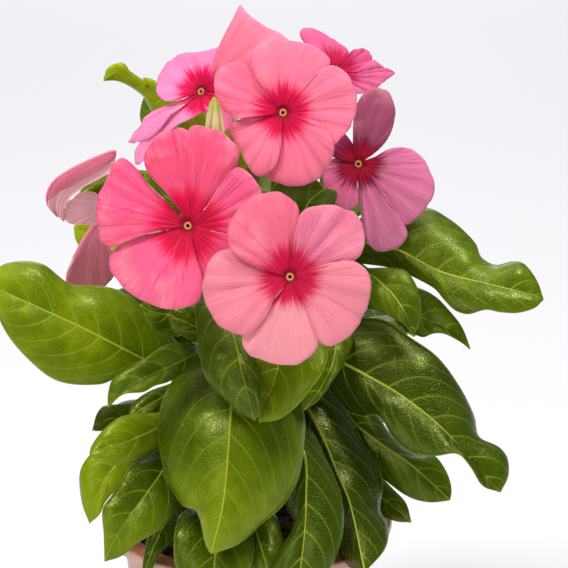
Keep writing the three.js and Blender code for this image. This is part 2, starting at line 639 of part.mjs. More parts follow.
// Blooms
// Each bloom looks along axis from its throat at (u, v) and depth y. Every petal is outlined as seen, from
// one side to the other. lift is how far the petals rise from the throat, droop how far their ends fall
// back, and turn how far one side of each petal comes before its neighbour, all in millimetres. beneath is
// the petal that lies beneath both neighbours, and partings says of a petal where its sides end and its rim
// begins.
const BLOOMS = {
  bloom_1: {
    at: [188, 226, -46], axis: [-0.05, -0.94, 0.33], shoot: "left", z: 172,
    lift: 2.5, droop: 2, turn: 1.2,
    petals: [
      [
        [182, 212], [166, 192], [148, 172], [145, 157], [155, 139], [174, 130], [182, 128], [187, 132],
        [191, 127], [205, 127], [222, 133], [239, 149], [236, 166], [212, 200],
      ],
      [[207, 212], [221, 190], [237, 168], [252, 176], [264, 195], [266, 215], [255, 235], [227, 236]],
      [[215, 235], [240, 242], [238, 262], [222, 280], [205, 285], [196, 252]],
      [
        [196, 256], [204, 284], [198, 302], [177, 309], [150, 304], [124, 288], [109, 262], [122, 243],
        [160, 232],
      ],
      [
        [165, 229], [138, 237], [112, 247], [102, 243], [97, 226], [97, 200], [104, 183], [121, 158],
        [136, 168], [150, 187], [167, 203],
      ],
    ],
  },
  bloom_2: {
    at: [290, 277, -58], axis: [0, -0.94, 0.33], shoot: "front", z: 158,
    lift: 2.5, droop: 2.5, turn: 1.3, beneath: 3,
    petals: [
      [[262, 270], [232, 251], [230, 222], [252, 197], [277, 192], [298, 206], [295, 240]],
      [[294, 240], [301, 213], [318, 206], [336, 206], [355, 215], [366, 238], [358, 258], [330, 270]],
      [
        [325, 264], [352, 261], [368, 272], [371, 292], [360, 322], [345, 341], [326, 346], [312, 330],
        [302, 300],
      ],
      [
        [303, 301], [315, 324], [319, 344], [304, 361], [284, 366], [262, 360], [245, 350], [243, 334],
        [265, 303],
      ],
      [
        [276, 295], [265, 318], [250, 334], [226, 330], [206, 306], [203, 280], [212, 258], [230, 248],
        [262, 266],
      ],
    ],
  },
  bloom_3: {
    at: [283, 113, -24], axis: [0, -0.93, 0.36], shoot: "main", z: 196,
    lift: 2.5, droop: 2, turn: 1.5,
    petals: [
      [[262, 88], [252, 68], [254, 50], [270, 42], [295, 41], [318, 48], [330, 62], [318, 80], [300, 92]],
      [
        [298, 95], [312, 78], [332, 66], [350, 78], [357, 100], [352, 124], [338, 142], [325, 150],
        [308, 132],
      ],
      [[318, 122], [333, 140], [332, 158], [320, 178], [300, 186], [280, 184], [266, 174], [281, 140]],
      [[281, 145], [276, 166], [263, 177], [252, 174], [240, 150], [228, 133], [236, 121], [258, 116]],
      [[257, 117], [236, 119], [220, 106], [214, 88], [218, 70], [235, 62], [252, 68], [268, 88]],
    ],
  },
  bloom_4: {
    at: [202, 92, 0], axis: [-0.5, -0.75, 0.42], shoot: "main", z: 188,
    lift: 3, droop: 1, turn: 1.5,
    petals: [
      [
        [193, 96], [175, 104], [165, 99], [161, 87], [165, 73], [174, 62], [186, 55], [203, 53], [224, 48],
        [213, 72],
      ],
      [
        [212, 80], [226, 47], [236, 26], [244, 7], [252, 15], [268, 27], [291, 42], [285, 60], [250, 86],
        [225, 94],
      ],
      [[226, 96], [240, 110], [237, 122], [226, 133], [213, 131], [206, 119], [206, 108]],
      [
        [212, 98], [215, 110], [205, 113], [193, 122], [181, 128], [150, 158], [137, 166], [139, 148],
        [180, 110],
      ],
      [
        [180, 113], [166, 131], [150, 142], [136, 144], [129, 141], [142, 127], [149, 115], [166, 107],
        [186, 100],
      ],
    ],
  },
  bloom_5: {
    at: [333, 72, 14], axis: [0.1, -0.75, 0.65], shoot: "right", z: 181,
    lift: 3, droop: 4, turn: 1.2,
    petals: [
      [[325, 68], [306, 48], [299, 36], [304, 29], [318, 31], [333, 40], [348, 52], [345, 64]],
      [[345, 60], [352, 53], [366, 53], [372, 60], [366, 72], [350, 78]],
      [[352, 74], [372, 64], [381, 69], [395, 74], [388, 80], [371, 92], [355, 94], [344, 84]],
      [[338, 84], [335, 100], [322, 104], [312, 96], [325, 80]],
      [[322, 78], [305, 84], [298, 74], [304, 62], [320, 66]],
    ],
  },
  bloom_6: {
    at: [358, 164, 2], axis: [0.15, -0.95, 0.25], shoot: "right", z: 180,
    lift: 3, droop: 2, turn: 1.2,
    petals: [
      [[352, 150], [352, 120], [358, 100], [372, 88], [386, 90], [395, 112], [388, 138], [372, 155]],
      [
        [372, 158], [390, 148], [412, 150], [430, 172], [433, 195], [420, 215], [405, 225], [390, 212],
        [372, 185],
      ],
      [[372, 180], [390, 205], [407, 233], [400, 245], [380, 251], [366, 240], [360, 210], [358, 190]],
      [[356, 180], [355, 205], [345, 210], [330, 200], [322, 180], [330, 160], [345, 158]],
      [[345, 160], [330, 155], [328, 140], [338, 130], [350, 140], [355, 152]],
    ],
  },
  bloom_7: {
    at: [112, 205, 0], axis: [-0.5, 0.75, 0.35], shoot: "left", z: 166,
    lift: 3, droop: 2, turn: 1.2, partings: { 0: [0.555, 0.655] },
    petals: [
      [
        [121, 154], [100, 162], [76, 173], [56, 186], [50, 205], [57, 218], [66, 223], [64, 214],
        [69, 201], [84, 189], [98, 181], [113, 172],
      ],
      [[98, 196], [82, 197], [71, 206], [66, 218], [70, 225], [84, 226], [98, 226]],
      [[99, 222], [84, 252], [66, 278], [70, 286], [93, 287], [113, 274], [108, 232]],
      [[114, 224], [130, 262], [140, 250], [138, 230], [118, 214]],
      [[120, 212], [138, 215], [142, 195], [132, 172], [116, 186]],
    ],
  },
};
// Where the petals begin, and the radius at which they droop by the full amount
const CLAW_RADIUS = 1.4;
const LIMB_RADIUS = 26;
// Even, so that one of its points is the middle
const OUTLINE_STEPS = 60;
// Every petal lies over its neighbour on one hand only, the same way round in each bloom, but for one that
// drops beneath both of its neighbours.
const TURN_HAND = -1;
const BENEATH = 1.7;

// The point seen at (u, v) on the bloom's own plane, from its throat: to the right, up, 0.
function onLimb(frame, u, v) {
  const ray = sight(u, v, 0).sub(EYE);
  const reach = frame.at.clone().sub(EYE).dot(frame.axis) / ray.dot(frame.axis);
  const from = EYE.clone().addScaledVector(ray, reach).sub(frame.at);
  return new THREE.Vector3(from.dot(frame.right), from.dot(frame.up), 0);
}

// Points evenly spaced along the straight steps between the given ones.
function spaced(points, count) {
  const path = new THREE.CurvePath();
  points.slice(1).forEach((point, i) => path.add(new THREE.LineCurve3(points[i], point)));
  return path.getSpacedPoints(count);
}

// A petal's outline parts into two sides and a rim. It does so at the given shares of its length, or else
// where it swings furthest to either hand, as seen from the throat.
function parted(outline, parting) {
  const line = spline(outline, OUTLINE_STEPS);
  const middle = OUTLINE_STEPS / 2;
  const { x, y } = line[middle];
  const swing = (p) => Math.atan2(x * p.y - y * p.x, x * p.x + y * p.y);
  const hand = Math.sign(swing(line[OUTLINE_STEPS]) - swing(line[0]));
  const swings = line.map((p) => hand * swing(p));
  let first = swings.indexOf(Math.min(...swings.slice(0, middle)));
  let last = swings.lastIndexOf(Math.max(...swings.slice(middle)));
  if (parting) [first, last] = parting.map((share) => Math.round(share * OUTLINE_STEPS));
  const claw = (k) => line[k].clone().setLength(CLAW_RADIUS);
  const sides = [
    [claw(first), ...line.slice(0, first + 1)],
    [claw(last), ...line.slice(last).reverse()],
  ];
  return { sides, rim: line.slice(first, last + 1) };
}

// A petal as a fan of rays from the throat to its rim, bowed as its sides are, given on the bloom's own plane.
function petal(frame, { outline, parting, beneath }, bloom) {
  const [outwards, across] = PETAL_STEPS;
  const parts = parted(outline, parting);
  const rim = spaced(parts.rim, across);
  const [left, right] = parts.sides.map((side) => {
    const points = spaced(side, outwards);
    return points.map((p, i) => p.clone().sub(points[0].clone().lerp(points.at(-1), i / outwards)));
  });
  const grid = [];
  for (let i = 0; i <= outwards; i++) {
    const row = [];
    for (let j = 0; j <= across; j++) {
      const t = (2 * j) / across - 1;
      const ray = rim[j].clone().setLength(CLAW_RADIUS).lerp(rim[j], i / outwards);
      const flat = ray.addScaledVector(left[i], (1 - t) / 2).addScaledVector(right[i], (1 + t) / 2);
      const x = flat.length() / LIMB_RADIUS;
      const rise = bloom.lift * Math.sin(Math.PI * Math.min(1, x) * 0.6) - bloom.droop * x * x;
      const tilt = beneath ? BENEATH * Math.abs(t) : t;
      const over = TURN_HAND * bloom.turn * tilt * Math.min(1, 2.5 * x);
      row.push(
        frame.at
          .clone()
          .addScaledVector(frame.right, flat.x)
          .addScaledVector(frame.up, flat.y)
          .addScaledVector(frame.axis, rise + over),
      );
    }
    grid.push(row);
  }
  return blade(grid, PETAL_THICKNESS);
}

function bloomFrame(bloom) {
  const at = sight(...bloom.at);
  const axis = vec(bloom.axis).normalize();
  const up = new THREE.Vector3(0, 0, 1).addScaledVector(axis, -axis.z).normalize();
  const right = up.clone().cross(axis);
  return { at, axis, up, right };
}

// A curve's length, and a function that gives count + 1 of its points between two distances from its start.
function measured(curve) {
  const length = curve.getLength();
  const at = (distance) => curve.getPointAt(THREE.MathUtils.clamp(distance / length, 0, 1));
  const part = (from, to, count) =>
    Array.from({ length: count + 1 }, (_, i) => at(from + ((to - from) * i) / count));
  return { length, part };
}

// The path of a bloom's tube and pedicel from the throat down to the shoot, and how much of it is tube.
function stalk(bloom, frame) {
  const root = onShoot(bloom.shoot, bloom.z);
  const path = measured(
    new THREE.CubicBezierCurve3(
      frame.at,
      frame.at.clone().addScaledVector(frame.axis, -15),
      root.clone().add(new THREE.Vector3(0, 0, 6)).lerp(frame.at, 0.15),
      root,
    ),
  );
  return { ...path, tube: Math.min(TUBE_LENGTH, path.length - 6) };
}

// The bud's tip and foot as seen, and its radius from the tip down to the end of its tube
const BUD = {
  at: [214, 97, -31], foot: [216, 138, -29], shoot: "main", z: 184, tube: 18,
  radii: [0.5, 2.1, 3, 2.6, 1.5, 1.2],
};

const materials = {
  clay: new THREE.MeshStandardMaterial({ color: 0xc88f7c, roughness: 0.55, metalness: 0 }),
  earth: new THREE.MeshStandardMaterial({ color: 0x2c1b10, roughness: 1, metalness: 0 }),
  stalk: new THREE.MeshStandardMaterial({ color: 0x7c9a3a, roughness: 0.6, metalness: 0 }),
  leaf: new THREE.MeshStandardMaterial({ color: 0x4f6e0e, roughness: 0.4, metalness: 0 }),
  petal: new THREE.MeshStandardMaterial({ color: 0xe86a92, roughness: 0.6, metalness: 0 }),
  bud: new THREE.MeshStandardMaterial({ color: 0xd5bd72, roughness: 0.6, metalness: 0 }),
};

const parts = new THREE.Group();
function place(name, body, material) {
  const mesh = body.getMesh();
  const geometry = new THREE.BufferGeometry();
  geometry.setAttribute("position", new THREE.BufferAttribute(new Float32Array(mesh.vertProperties), 3));
  geometry.setIndex(new THREE.BufferAttribute(new Uint32Array(mesh.triVerts), 1));
  geometry.computeVertexNormals();
  const made = new THREE.Mesh(geometry, material);
  made.name = name;
  parts.add(made);
}

// Pot: turned wall with a rolled lip, and drain holes through the floor round its solid middle
const POT_SIDES = 36;
const wallRadius = (z) => BASE_RADIUS + ((LIP_RADIUS - LIP_OVERHANG - BASE_RADIUS) * z) / POT_HEIGHT;
const insideRadius = (z) => wallRadius(z) - POT_WALL;
const lipFoot = POT_HEIGHT - LIP_HEIGHT;

// A solid turned from a profile of (radius, height) points
function turned(profile) {
  const points = profile.map(([r, z]) => new THREE.Vector2(r, z));
  return solidOf(new THREE.LatheGeometry(points, POT_SIDES).rotateX(Math.PI / 2));
}

let pot = turned([
  [0, 0],
  [BASE_RADIUS - 1.2, 0],
  [BASE_RADIUS, 1.2],
  [wallRadius(lipFoot), lipFoot],
  [LIP_RADIUS - 0.8, lipFoot + 0.2],
  [LIP_RADIUS, lipFoot + 1],
  [LIP_RADIUS, POT_HEIGHT - 1],
  [LIP_RADIUS - 0.9, POT_HEIGHT],
  [wallRadius(POT_HEIGHT), POT_HEIGHT],
  [insideRadius(POT_HEIGHT), POT_HEIGHT - 0.8],
  [insideRadius(FLOOR), FLOOR + 1],
  [insideRadius(FLOOR) - 1, FLOOR],
  [0, FLOOR],
]);
for (let i = 0; i < DRAIN_HOLES; i++) {
  const angle = (2 * Math.PI * (i + 0.5)) / DRAIN_HOLES;
  const [x, y] = [DRAIN_CIRCLE * Math.cos(angle), DRAIN_CIRCLE * Math.sin(angle)];
  const hole = [new THREE.Vector3(x, y, -1), new THREE.Vector3(x, y, FLOOR + 1)];
  pot = pot.subtract(rod(hole, [DRAIN_RADIUS, DRAIN_RADIUS], 8));
}
place("pot", pot, materials.clay);

// Stems: shoots, pedicels and calyxes in one piece
const shootRod = (shoot, grow) => rod(shoot.path, shoot.radii, SHOOT_SIDES, grow);
const shoots = Object.values(SHOOTS);
const clearOfShoots = join(shoots.map((shoot) => shootRod(shoot, GAP)));

// A calyx is a cup round the foot of the tube, at the given distance along the stalk. Its rim runs up into
// pointed sepals.
function calyx(part, distance) {
  const [foot] = part(distance + 1.2, distance + 1.2, 1);
  const [waist] = part(distance - 0.8, distance - 0.8, 1);
  const [rim, tip] = part(distance - CUP.height, distance - CUP.height - CUP.sepal, 1);
  const out = tip.clone().sub(rim).normalize();
  const side = new THREE.Vector3(0.2, 1, 0.1).cross(out).normalize();
  const sides = CUP.sepals * 2;
  const spoke = (k) => side.clone().applyAxisAngle(out, (Math.PI * k) / CUP.sepals);
  const ring = (centre, radius, k) => centre.clone().addScaledVector(spoke(k), radius);
  const rings = [
    (k) => ring(foot, CUP.foot, k),
    (k) => ring(waist, CUP.radius, k),
    (k) => (k % 2 ? ring(rim, CUP.radius, k) : ring(tip, CUP.radius + CUP.spread, k)),
  ];
  const vertices = rings.flatMap((at) => Array.from({ length: sides }, (_, k) => at(k)));
  vertices.push(foot, rim.clone());
  const triangles = [];
  for (let k = 0; k < sides; k++) {
    const n = (k + 1) % sides;
    for (const r of [0, sides]) {
      triangles.push(r + k, r + n, r + sides + n);
      triangles.push(r + k, r + sides + n, r + sides + k);
    }
    triangles.push(3 * sides, n, k, 3 * sides + 1, 2 * sides + k, 2 * sides + n);
  }
  return solid(vertices, triangles);
}

let stems = join(shoots.map((shoot) => shootRod(shoot, 0)));

// Adds a pedicel and its calyx to the stems, and opens the calyx for the tube that stands in it.
function addStalk({ part, length, tube }) {
  const pedicel = rod(part(tube + 0.6, length, 4), [PEDICEL_RADIUS, PEDICEL_RADIUS], 5);
  const socket = rod(part(tube - CUP.height - 1.5, tube, 2), [TUBE_RADIUS, TUBE_RADIUS], 8, GAP);
  stems = join([stems, pedicel, calyx(part, tube)]).subtract(socket);
}

const blooms = {};
for (const [name, bloom] of Object.entries(BLOOMS)) {
  const frame = bloomFrame(bloom);
  const path = stalk(bloom, frame);
  const throat = [1.6, -1.6].map((height) => frame.at.clone().addScaledVector(frame.axis, height));
  const radii = [THROAT_RADIUS * 0.85, THROAT_RADIUS, TUBE_RADIUS, TUBE_RADIUS, TUBE_RADIUS, TUBE_RADIUS];
  const tube = rod([...throat, ...path.part(6, path.tube - GAP, 3)], radii, 6);
  const petals = bloom.petals.map((seen, k) => {
    const outline = seen.map(([u, v]) => onLimb(frame, u, v));
    return petal(frame, { outline, parting: bloom.partings?.[k], beneath: bloom.beneath === k }, bloom);
  });
  blooms[name] = largest(join([tube, ...petals]));
  addStalk(path);
}

const budTip = sight(...BUD.at);
const budFoot = sight(...BUD.foot);
const budRoot = onShoot(BUD.shoot, BUD.z);
const budBend = budFoot.clone().lerp(budRoot, 0.5).add(new THREE.Vector3(0, 0, -4));
const budPath = measured(new THREE.CatmullRomCurve3([budTip, budFoot, budBend, budRoot]));
const bud = rod(budPath.part(0, BUD.tube - GAP, 9), BUD.radii, 8);
addStalk({ ...budPath, tube: BUD.tube });
place("stems", largest(stems), materials.stalk);

// Soil fills the pot to just below its lip, domed, with a plain hole where the stem stands
const SOIL_RINGS = 3;
const soilEdge = insideRadius(SOIL_TOP - SOIL_DOME) - GAP - 0.1;
const soilProfile = [
  [0, FLOOR + GAP],
  [insideRadius(FLOOR) - 1 - GAP, FLOOR + GAP],
  [insideRadius(FLOOR) - GAP, FLOOR + 1 + GAP],
];
for (let i = SOIL_RINGS; i >= 0; i--) {
  const share = i / SOIL_RINGS;
  soilProfile.push([soilEdge * share, SOIL_TOP - SOIL_DOME + SOIL_DOME * Math.cos((Math.PI * share) / 2)]);
}
const [stemRadius] = SHOOTS.main.radii;
const holeFoot = new THREE.Vector3(0, 0, SOIL_TOP - STEM_HOLE_DEPTH - GAP);
const holeMouth = new THREE.Vector3(0, 0, SOIL_TOP + 3);
const hole = rod([holeFoot, holeMouth], [stemRadius, stemRadius], SHOOT_SIDES, GAP);
const soil = turned(soilProfile).subtract(shootRod(SHOOTS.main, GAP)).subtract(hole);
place("soil", soil, materials.earth);

function placeLeaf(name, grid) {
  place(name, largest(blade(grid, LEAF_THICKNESS).subtract(clearOfShoots)), materials.leaf);
}
for (const [name, leaf] of Object.entries(LEAVES)) placeLeaf(name, seenLeaf(leaf));
for (const [name, leaf] of Object.entries(FAR_LEAVES)) placeLeaf(name, plainLeaf(leaf));
for (const [name, body] of Object.entries(blooms)) place(name, body, materials.petal);
place("bud", bud, materials.bud);

export default parts;
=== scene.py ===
"""The looks of a potted Madagascar periwinkle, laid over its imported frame.

Shapes are worked out in millimetres as numpy arrays and turned into metres when a mesh is made.
+Z is up, +X to the right and +Y away from the viewer, as in the frame.
"""

import bpy
import numpy as np
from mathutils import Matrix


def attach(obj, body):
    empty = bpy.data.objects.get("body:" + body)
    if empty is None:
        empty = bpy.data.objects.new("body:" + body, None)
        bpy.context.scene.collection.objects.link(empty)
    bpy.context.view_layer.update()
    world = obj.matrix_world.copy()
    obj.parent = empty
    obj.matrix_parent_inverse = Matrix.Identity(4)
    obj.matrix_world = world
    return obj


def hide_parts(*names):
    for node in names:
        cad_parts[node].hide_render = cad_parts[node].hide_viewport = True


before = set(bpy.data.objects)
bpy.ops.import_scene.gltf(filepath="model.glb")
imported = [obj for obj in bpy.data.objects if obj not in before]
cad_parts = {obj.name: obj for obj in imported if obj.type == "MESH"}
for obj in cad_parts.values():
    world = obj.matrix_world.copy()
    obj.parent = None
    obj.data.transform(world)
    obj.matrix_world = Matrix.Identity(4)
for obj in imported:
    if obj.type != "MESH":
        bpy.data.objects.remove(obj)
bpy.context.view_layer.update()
scene = bpy.context.scene
MM = 0.001
TURN = 2 * np.pi
SHORTEST_STEP = 1e-6

# The viewpoint from which places on the plant were measured: u and v count to the right and down on a
# square picture, and the eye looks along +Y, tipped down by PITCH.
PICTURE = 568
FOCAL = 2240.0
EYE = np.array([11.25, -638.7, 375.3])
PITCH = np.radians(19.0)

# Pot, soil and plant, as the solids have them
POT_HEIGHT = 80.0
LIP_RADIUS = 45.0
LIP_HEIGHT = 3.4
LIP_OVERHANG = 5.5
BASE_RADIUS = 31.5
POT_WALL = 1.5
FLOOR = 2.0
DRAIN_HOLES = 6
DRAIN_RADIUS = 3.2
DRAIN_CIRCLE = 19.0
SOIL_TOP = 71.0
SOIL_DOME = 2.5
PETIOLE_HALF_WIDTH = 1.15
TUBE_LENGTH = 24.0
TUBE_RADIUS = 1.25
THROAT_RADIUS = 2.1
PEDICEL_RADIUS = 0.85
GAP = 0.3
CLAW_RADIUS = 1.4
LIMB_RADIUS = 26.0

# Shoots: each runs through its points, and its radius tapers from the first to the second value.
SHOOTS = {
    "main": ([[0, 0, 59], [1, -2, 100], [3, -5, 140], [5, -2, 172], [6, 3, 198]], [3.2, 1.6]),
    "front": ([[1.5, -3, 118], [4, -10, 140], [9, -18, 160]], [2, 1.2]),
    "left": ([[0, -1, 92], [-8, -5, 112], [-14, -9, 140], [-14, -12, 174]], [2.5, 1.5]),
    "right": ([[1, -2, 96], [11, 2, 116], [19, 8, 145], [23, 15, 182]], [2.5, 1.5]),
    "back": ([[0, 0, 88], [0, 10, 104], [-4, 20, 128], [-6, 25, 153]], [2.5, 1.5]),
}

# The leaves that the eye sees: shoot, height of the foot on it, how far behind the midrib the two margins
# lie, then the midrib as (u, v, Y) and the margins as (u, v), all from the foot outwards
LEAVES = {
  "leaf_01": ("front", 138, [3, 3],
    [[236, 372, -28], [231, 410, -42], [228, 455, -51], [223, 505, -57], [211, 554, -60]],
    [[178, 375], [161, 405], [159, 440], [166, 476], [182, 505], [197, 512], [205, 542]],
    [[285, 372], [303, 410], [304, 441], [298, 478], [282, 506], [262, 523], [240, 543]]),
  "leaf_02": ("front", 150, [4, -3],
    [[233, 320, -34], [239, 357, -46], [245, 382, -50], [252, 407, -53], [255, 420, -54]],
    [[200, 300], [197, 330], [200, 356], [208, 380], [222, 396], [240, 413]],
    [[247, 330], [254, 360], [259, 385], [261, 402], [259, 414]]),
  "leaf_03": ("front", 152, [2, -7],
    [[282, 335, -34], [278, 369, -43], [271, 391, -46], [263, 407, -47], [260, 422, -48]],
    [[262, 330], [252, 352], [250, 378], [253, 402]],
    [[318, 335], [327, 352], [321, 370], [309, 388], [296, 405], [279, 419]]),
  "leaf_04": ("right", 150, [0, 0],
    [[335, 330, -14], [332, 365, -26], [318, 392, -34], [304, 410, -37]],
    [[312, 335], [304, 362], [298, 385]],
    [[352, 335], [345, 360], [334, 378], [318, 400]]),
  "leaf_05": ("left", 126, [9, -8],
    [[165, 371, -14], [143.7, 360, -17], [84, 329, -22], [28, 303, -24], [-14, 284, -25]],
    [[177, 342], [154, 320], [130, 295], [102, 286], [70, 284], [40, 263], [5, 264]],
    [[160, 380], [123, 375], [100, 384], [60, 381], [30, 360], [5, 330]]),
  "leaf_06": ("left", 134, [3, -3],
    [[197, 353, -26], [177, 363, -36], [154, 374, -42], [133, 384, -45], [113, 399, -47],
     [108.5, 407, -48]],
    [[197, 343], [185, 343], [164, 346], [140, 362], [114, 378], [108.5, 394]],
    [[205, 365], [183, 374], [169, 380], [154, 384], [144, 390], [123, 394]]),
  "leaf_07": ("left", 116, [2, -2],
    [[178, 390, -17], [158, 400, -23], [142, 409, -26], [129, 418, -28]],
    [[186, 382], [162, 387], [143, 395], [131, 406]],
    [[185, 395], [170, 405], [158, 411], [150, 418], [139, 421]]),
  "leaf_08": ("left", 114, [4, -4],
    [[150, 420, -8], [125, 419, -12], [107, 420, -15], [93, 430, -16]],
    [[160, 405], [137, 404], [106, 405], [97, 414]],
    [[150, 435], [125, 430], [108, 430], [96, 431]]),
  "leaf_09": ("main", 116, [3, -3],
    [[172, 426, -28], [157, 429, -34], [144, 434.6, -38], [123, 443, -41], [98, 450, -43],
     [89.5, 456, -44]],
    [[175, 412], [150, 413], [129, 415], [116, 420], [102, 432], [92, 446]],
    [[175, 440], [158, 447], [144, 455], [133, 462], [118, 465], [102, 463]]),
  "leaf_10": ("left", 108, [2, -2],
    [[140, 448, -24], [117.5, 464, -29], [108, 476, -31], [97.7, 495, -33], [90, 523, -34]],
    [[118, 440], [100, 446], [88, 458], [81, 470], [80, 487], [83, 506]],
    [[150, 470], [130, 480], [115, 490], [104, 503], [99.7, 514]]),
  "leaf_11": ("main", 112, [2, -2],
    [[175, 455, -30], [164, 469, -38], [144, 497, -46], [127, 520, -50], [114, 541, -52],
     [105, 561, -53]],
    [[165, 442], [144, 457], [131, 467], [112, 496], [103, 509], [104, 533]],
    [[190, 465], [180, 490], [175, 510], [160, 529], [140, 541], [121, 556]]),
  "leaf_12": ("main", 102, [1, -1],
    [[182, 495, -23], [167, 522, -31], [158, 537, -35], [148, 564, -39], [143, 582, -41]],
    [[172, 495], [160, 520], [147, 539], [143, 562]],
    [[197, 500], [190, 520], [174, 539], [160, 552], [150, 572]]),
  "leaf_13": ("main", 106, [2, 2],
    [[218, 500, -32], [216, 530, -44], [215, 557, -51], [213, 580, -55], [210, 603, -57]],
    [[196, 500], [184, 510], [177, 522], [174, 541], [176, 565], [190, 590]],
    [[240, 505], [252, 530], [252, 560], [238, 588]]),
  "leaf_14": ("main", 100, [1, 1],
    [[250, 500, -26], [256, 530, -38], [262, 550, -44], [267, 568, -47], [275, 592, -50]],
    [[240, 510], [240, 540], [246, 562], [260, 585]],
    [[268, 505], [276, 517], [281, 540], [281, 560], [280, 580]]),
  "leaf_15": ("main", 132, [2, 2],
    [[295, 385, -8], [310, 412, -15], [325, 442, -21], [337, 472, -26], [350, 504, -34],
     [365, 572, -49]],
    [[325, 385], [347, 411], [364, 445], [377, 463], [382, 485], [379, 509], [387, 525], [385, 548]],
    [[285, 410], [300, 445], [312, 475], [325, 510], [335, 545], [350, 568]]),
  "leaf_16": ("main", 124, [1, 1],
    [[290, 430, -28], [305, 457, -36], [306, 502, -43], [304, 539, -48], [300, 570, -51],
     [297, 598, -53]],
    [[275, 450], [280, 480], [287, 508], [294, 520], [290, 534], [280, 550], [272, 570], [280, 588]],
    [[310, 430], [323, 455], [334, 480], [342, 507], [343, 528], [339, 547], [329, 570], [313, 590]]),
  "leaf_17": ("right", 130, [8, -6],
    [[320, 352, -8], [343, 363, -14], [394, 391.6, -22], [424, 413, -26], [448, 435, -29],
     [478, 470, -32], [500, 492, -33]],
    [[335, 325], [364, 318.6], [388, 322], [410, 338], [437, 356], [460, 385], [476, 415], [481, 435],
     [500, 446], [508, 458], [508, 476]],
    [[318, 368], [331, 390], [347, 410], [362, 415], [379, 414], [394, 437], [411, 452], [434, 456],
     [458, 453.5], [471, 467], [483, 486]]),
  "leaf_18": ("right", 160, [8, -6],
    [[350, 243, 6], [394, 249, 0], [439, 271.6, -6], [486, 284, -9], [528, 294, -10], [543, 299.5, -10]],
    [[350, 225], [390, 205], [429, 208], [449, 218.5], [463, 229.5], [476, 244], [481, 256.7],
     [495.5, 265], [512, 262], [522, 263], [531, 272], [538, 284]],
    [[350, 262], [385, 266], [406, 273], [419, 279], [436, 289], [444, 299], [455, 310], [468, 314],
     [486, 309], [500, 311], [518, 312], [535, 307.5]]),
  "leaf_19": ("right", 152, [2, -3],
    [[345, 268, 0], [372, 276, -8], [382, 284, -12], [394, 296, -15], [406, 316, -18],
     [412.6, 336, -19]],
    [[355, 262], [370, 269], [387, 268], [404, 270], [414, 281.5], [420, 299], [420, 321]],
    [[350, 292], [371, 306], [387, 314], [404, 324]]),
  "leaf_20": ("right", 146, [3, -2],
    [[385, 296, 0], [410, 306, -5], [424, 318.6, -7], [443, 326, -9], [458, 336, -10], [470, 349, -11]],
    [[390, 282], [416, 288], [434, 296], [448.5, 310], [461, 326]],
    [[385, 312], [405, 330], [417, 335], [424, 337], [434, 333], [444, 333], [458, 340]]),
  "leaf_21": ("right", 118, [2, -2],
    [[345, 415, -4], [359, 427.5, -8], [385, 447, -12], [411, 464.7, -15], [450, 500, -18]],
    [[350, 400], [375, 415], [394, 438], [414, 453], [434, 456], [446, 472], [451, 488]],
    [[335, 430], [355, 455], [385, 480], [410, 497], [430, 502]]),
  "leaf_22": ("right", 106, [1, -1],
    [[360, 480, -2], [385, 500, -6], [400, 512, -8], [411, 522, -8]],
    [[375, 475], [395, 492], [406, 504]],
    [[365, 500], [380, 514], [396, 521]]),
  "leaf_23": ("left", 148, [2, -2],
    [[185, 318, -20], [170, 315, -23], [152, 312, -25], [140, 305, -26]],
    [[185, 300], [165, 300], [150, 300]],
    [[180, 336], [160, 333], [148, 322]]),
  "leaf_24": ("left", 144, [2, -2],
    [[200, 330, -26], [185, 322, -30], [168, 315, -31]],
    [[200, 312], [185, 306], [172, 307]],
    [[200, 342], [187, 336], [174, 330]]),
  "leaf_25": ("main", 178, [1, 1],
    [[300, 215, -14], [310, 200, -18], [325, 188, -20]],
    [[276, 210], [272, 190], [290, 178], [310, 176]],
    [[322, 220], [334, 205], [336, 192]]),
  "leaf_26": ("main", 166, [1, 1],
    [[268, 200, 10], [258, 180, 12], [244, 160, 12]],
    [[245, 200], [236, 180], [234, 165]],
    [[280, 196], [274, 178], [258, 158]]),
  "leaf_27": ("main", 180, [1, 1],
    [[215, 150, 14], [200, 125, 16], [170, 106, 16], [150, 90, 16], [133, 79, 15], [116, 72, 14],
     [103.5, 80.5, 13]],
    [[225, 125], [205, 108], [180, 100], [166, 94], [159.5, 84], [148, 78], [133, 78], [126, 66],
     [121, 63], [108, 68]],
    [[205, 160], [190, 140], [170, 125], [152, 112], [144, 97], [133, 88], [119, 81], [110, 80]]),
  "leaf_28": ("main", 174, [1, 1],
    [[205, 160, 24], [190, 140, 26], [165, 122, 27], [152, 112, 27], [146, 92, 27]],
    [[195, 165], [180, 145], [155, 130], [142, 123], [141, 108]],
    [[213, 150], [195, 120], [170, 108], [158, 100], [150, 92]]),
  "leaf_29": ("back", 148, [2, -2],
    [[140, 245, 30], [105, 240, 32], [74, 227, 32]],
    [[130, 215], [100, 212], [80, 218]],
    [[130, 255], [105, 258], [85, 252], [76, 240]]),
  "leaf_30": ("left", 158, [1, -1],
    [[185, 215, -6], [165, 195, -3], [145, 175, 0]],
    [[170, 225], [145, 210], [135, 190]],
    [[200, 200], [185, 180], [165, 170]]),
}

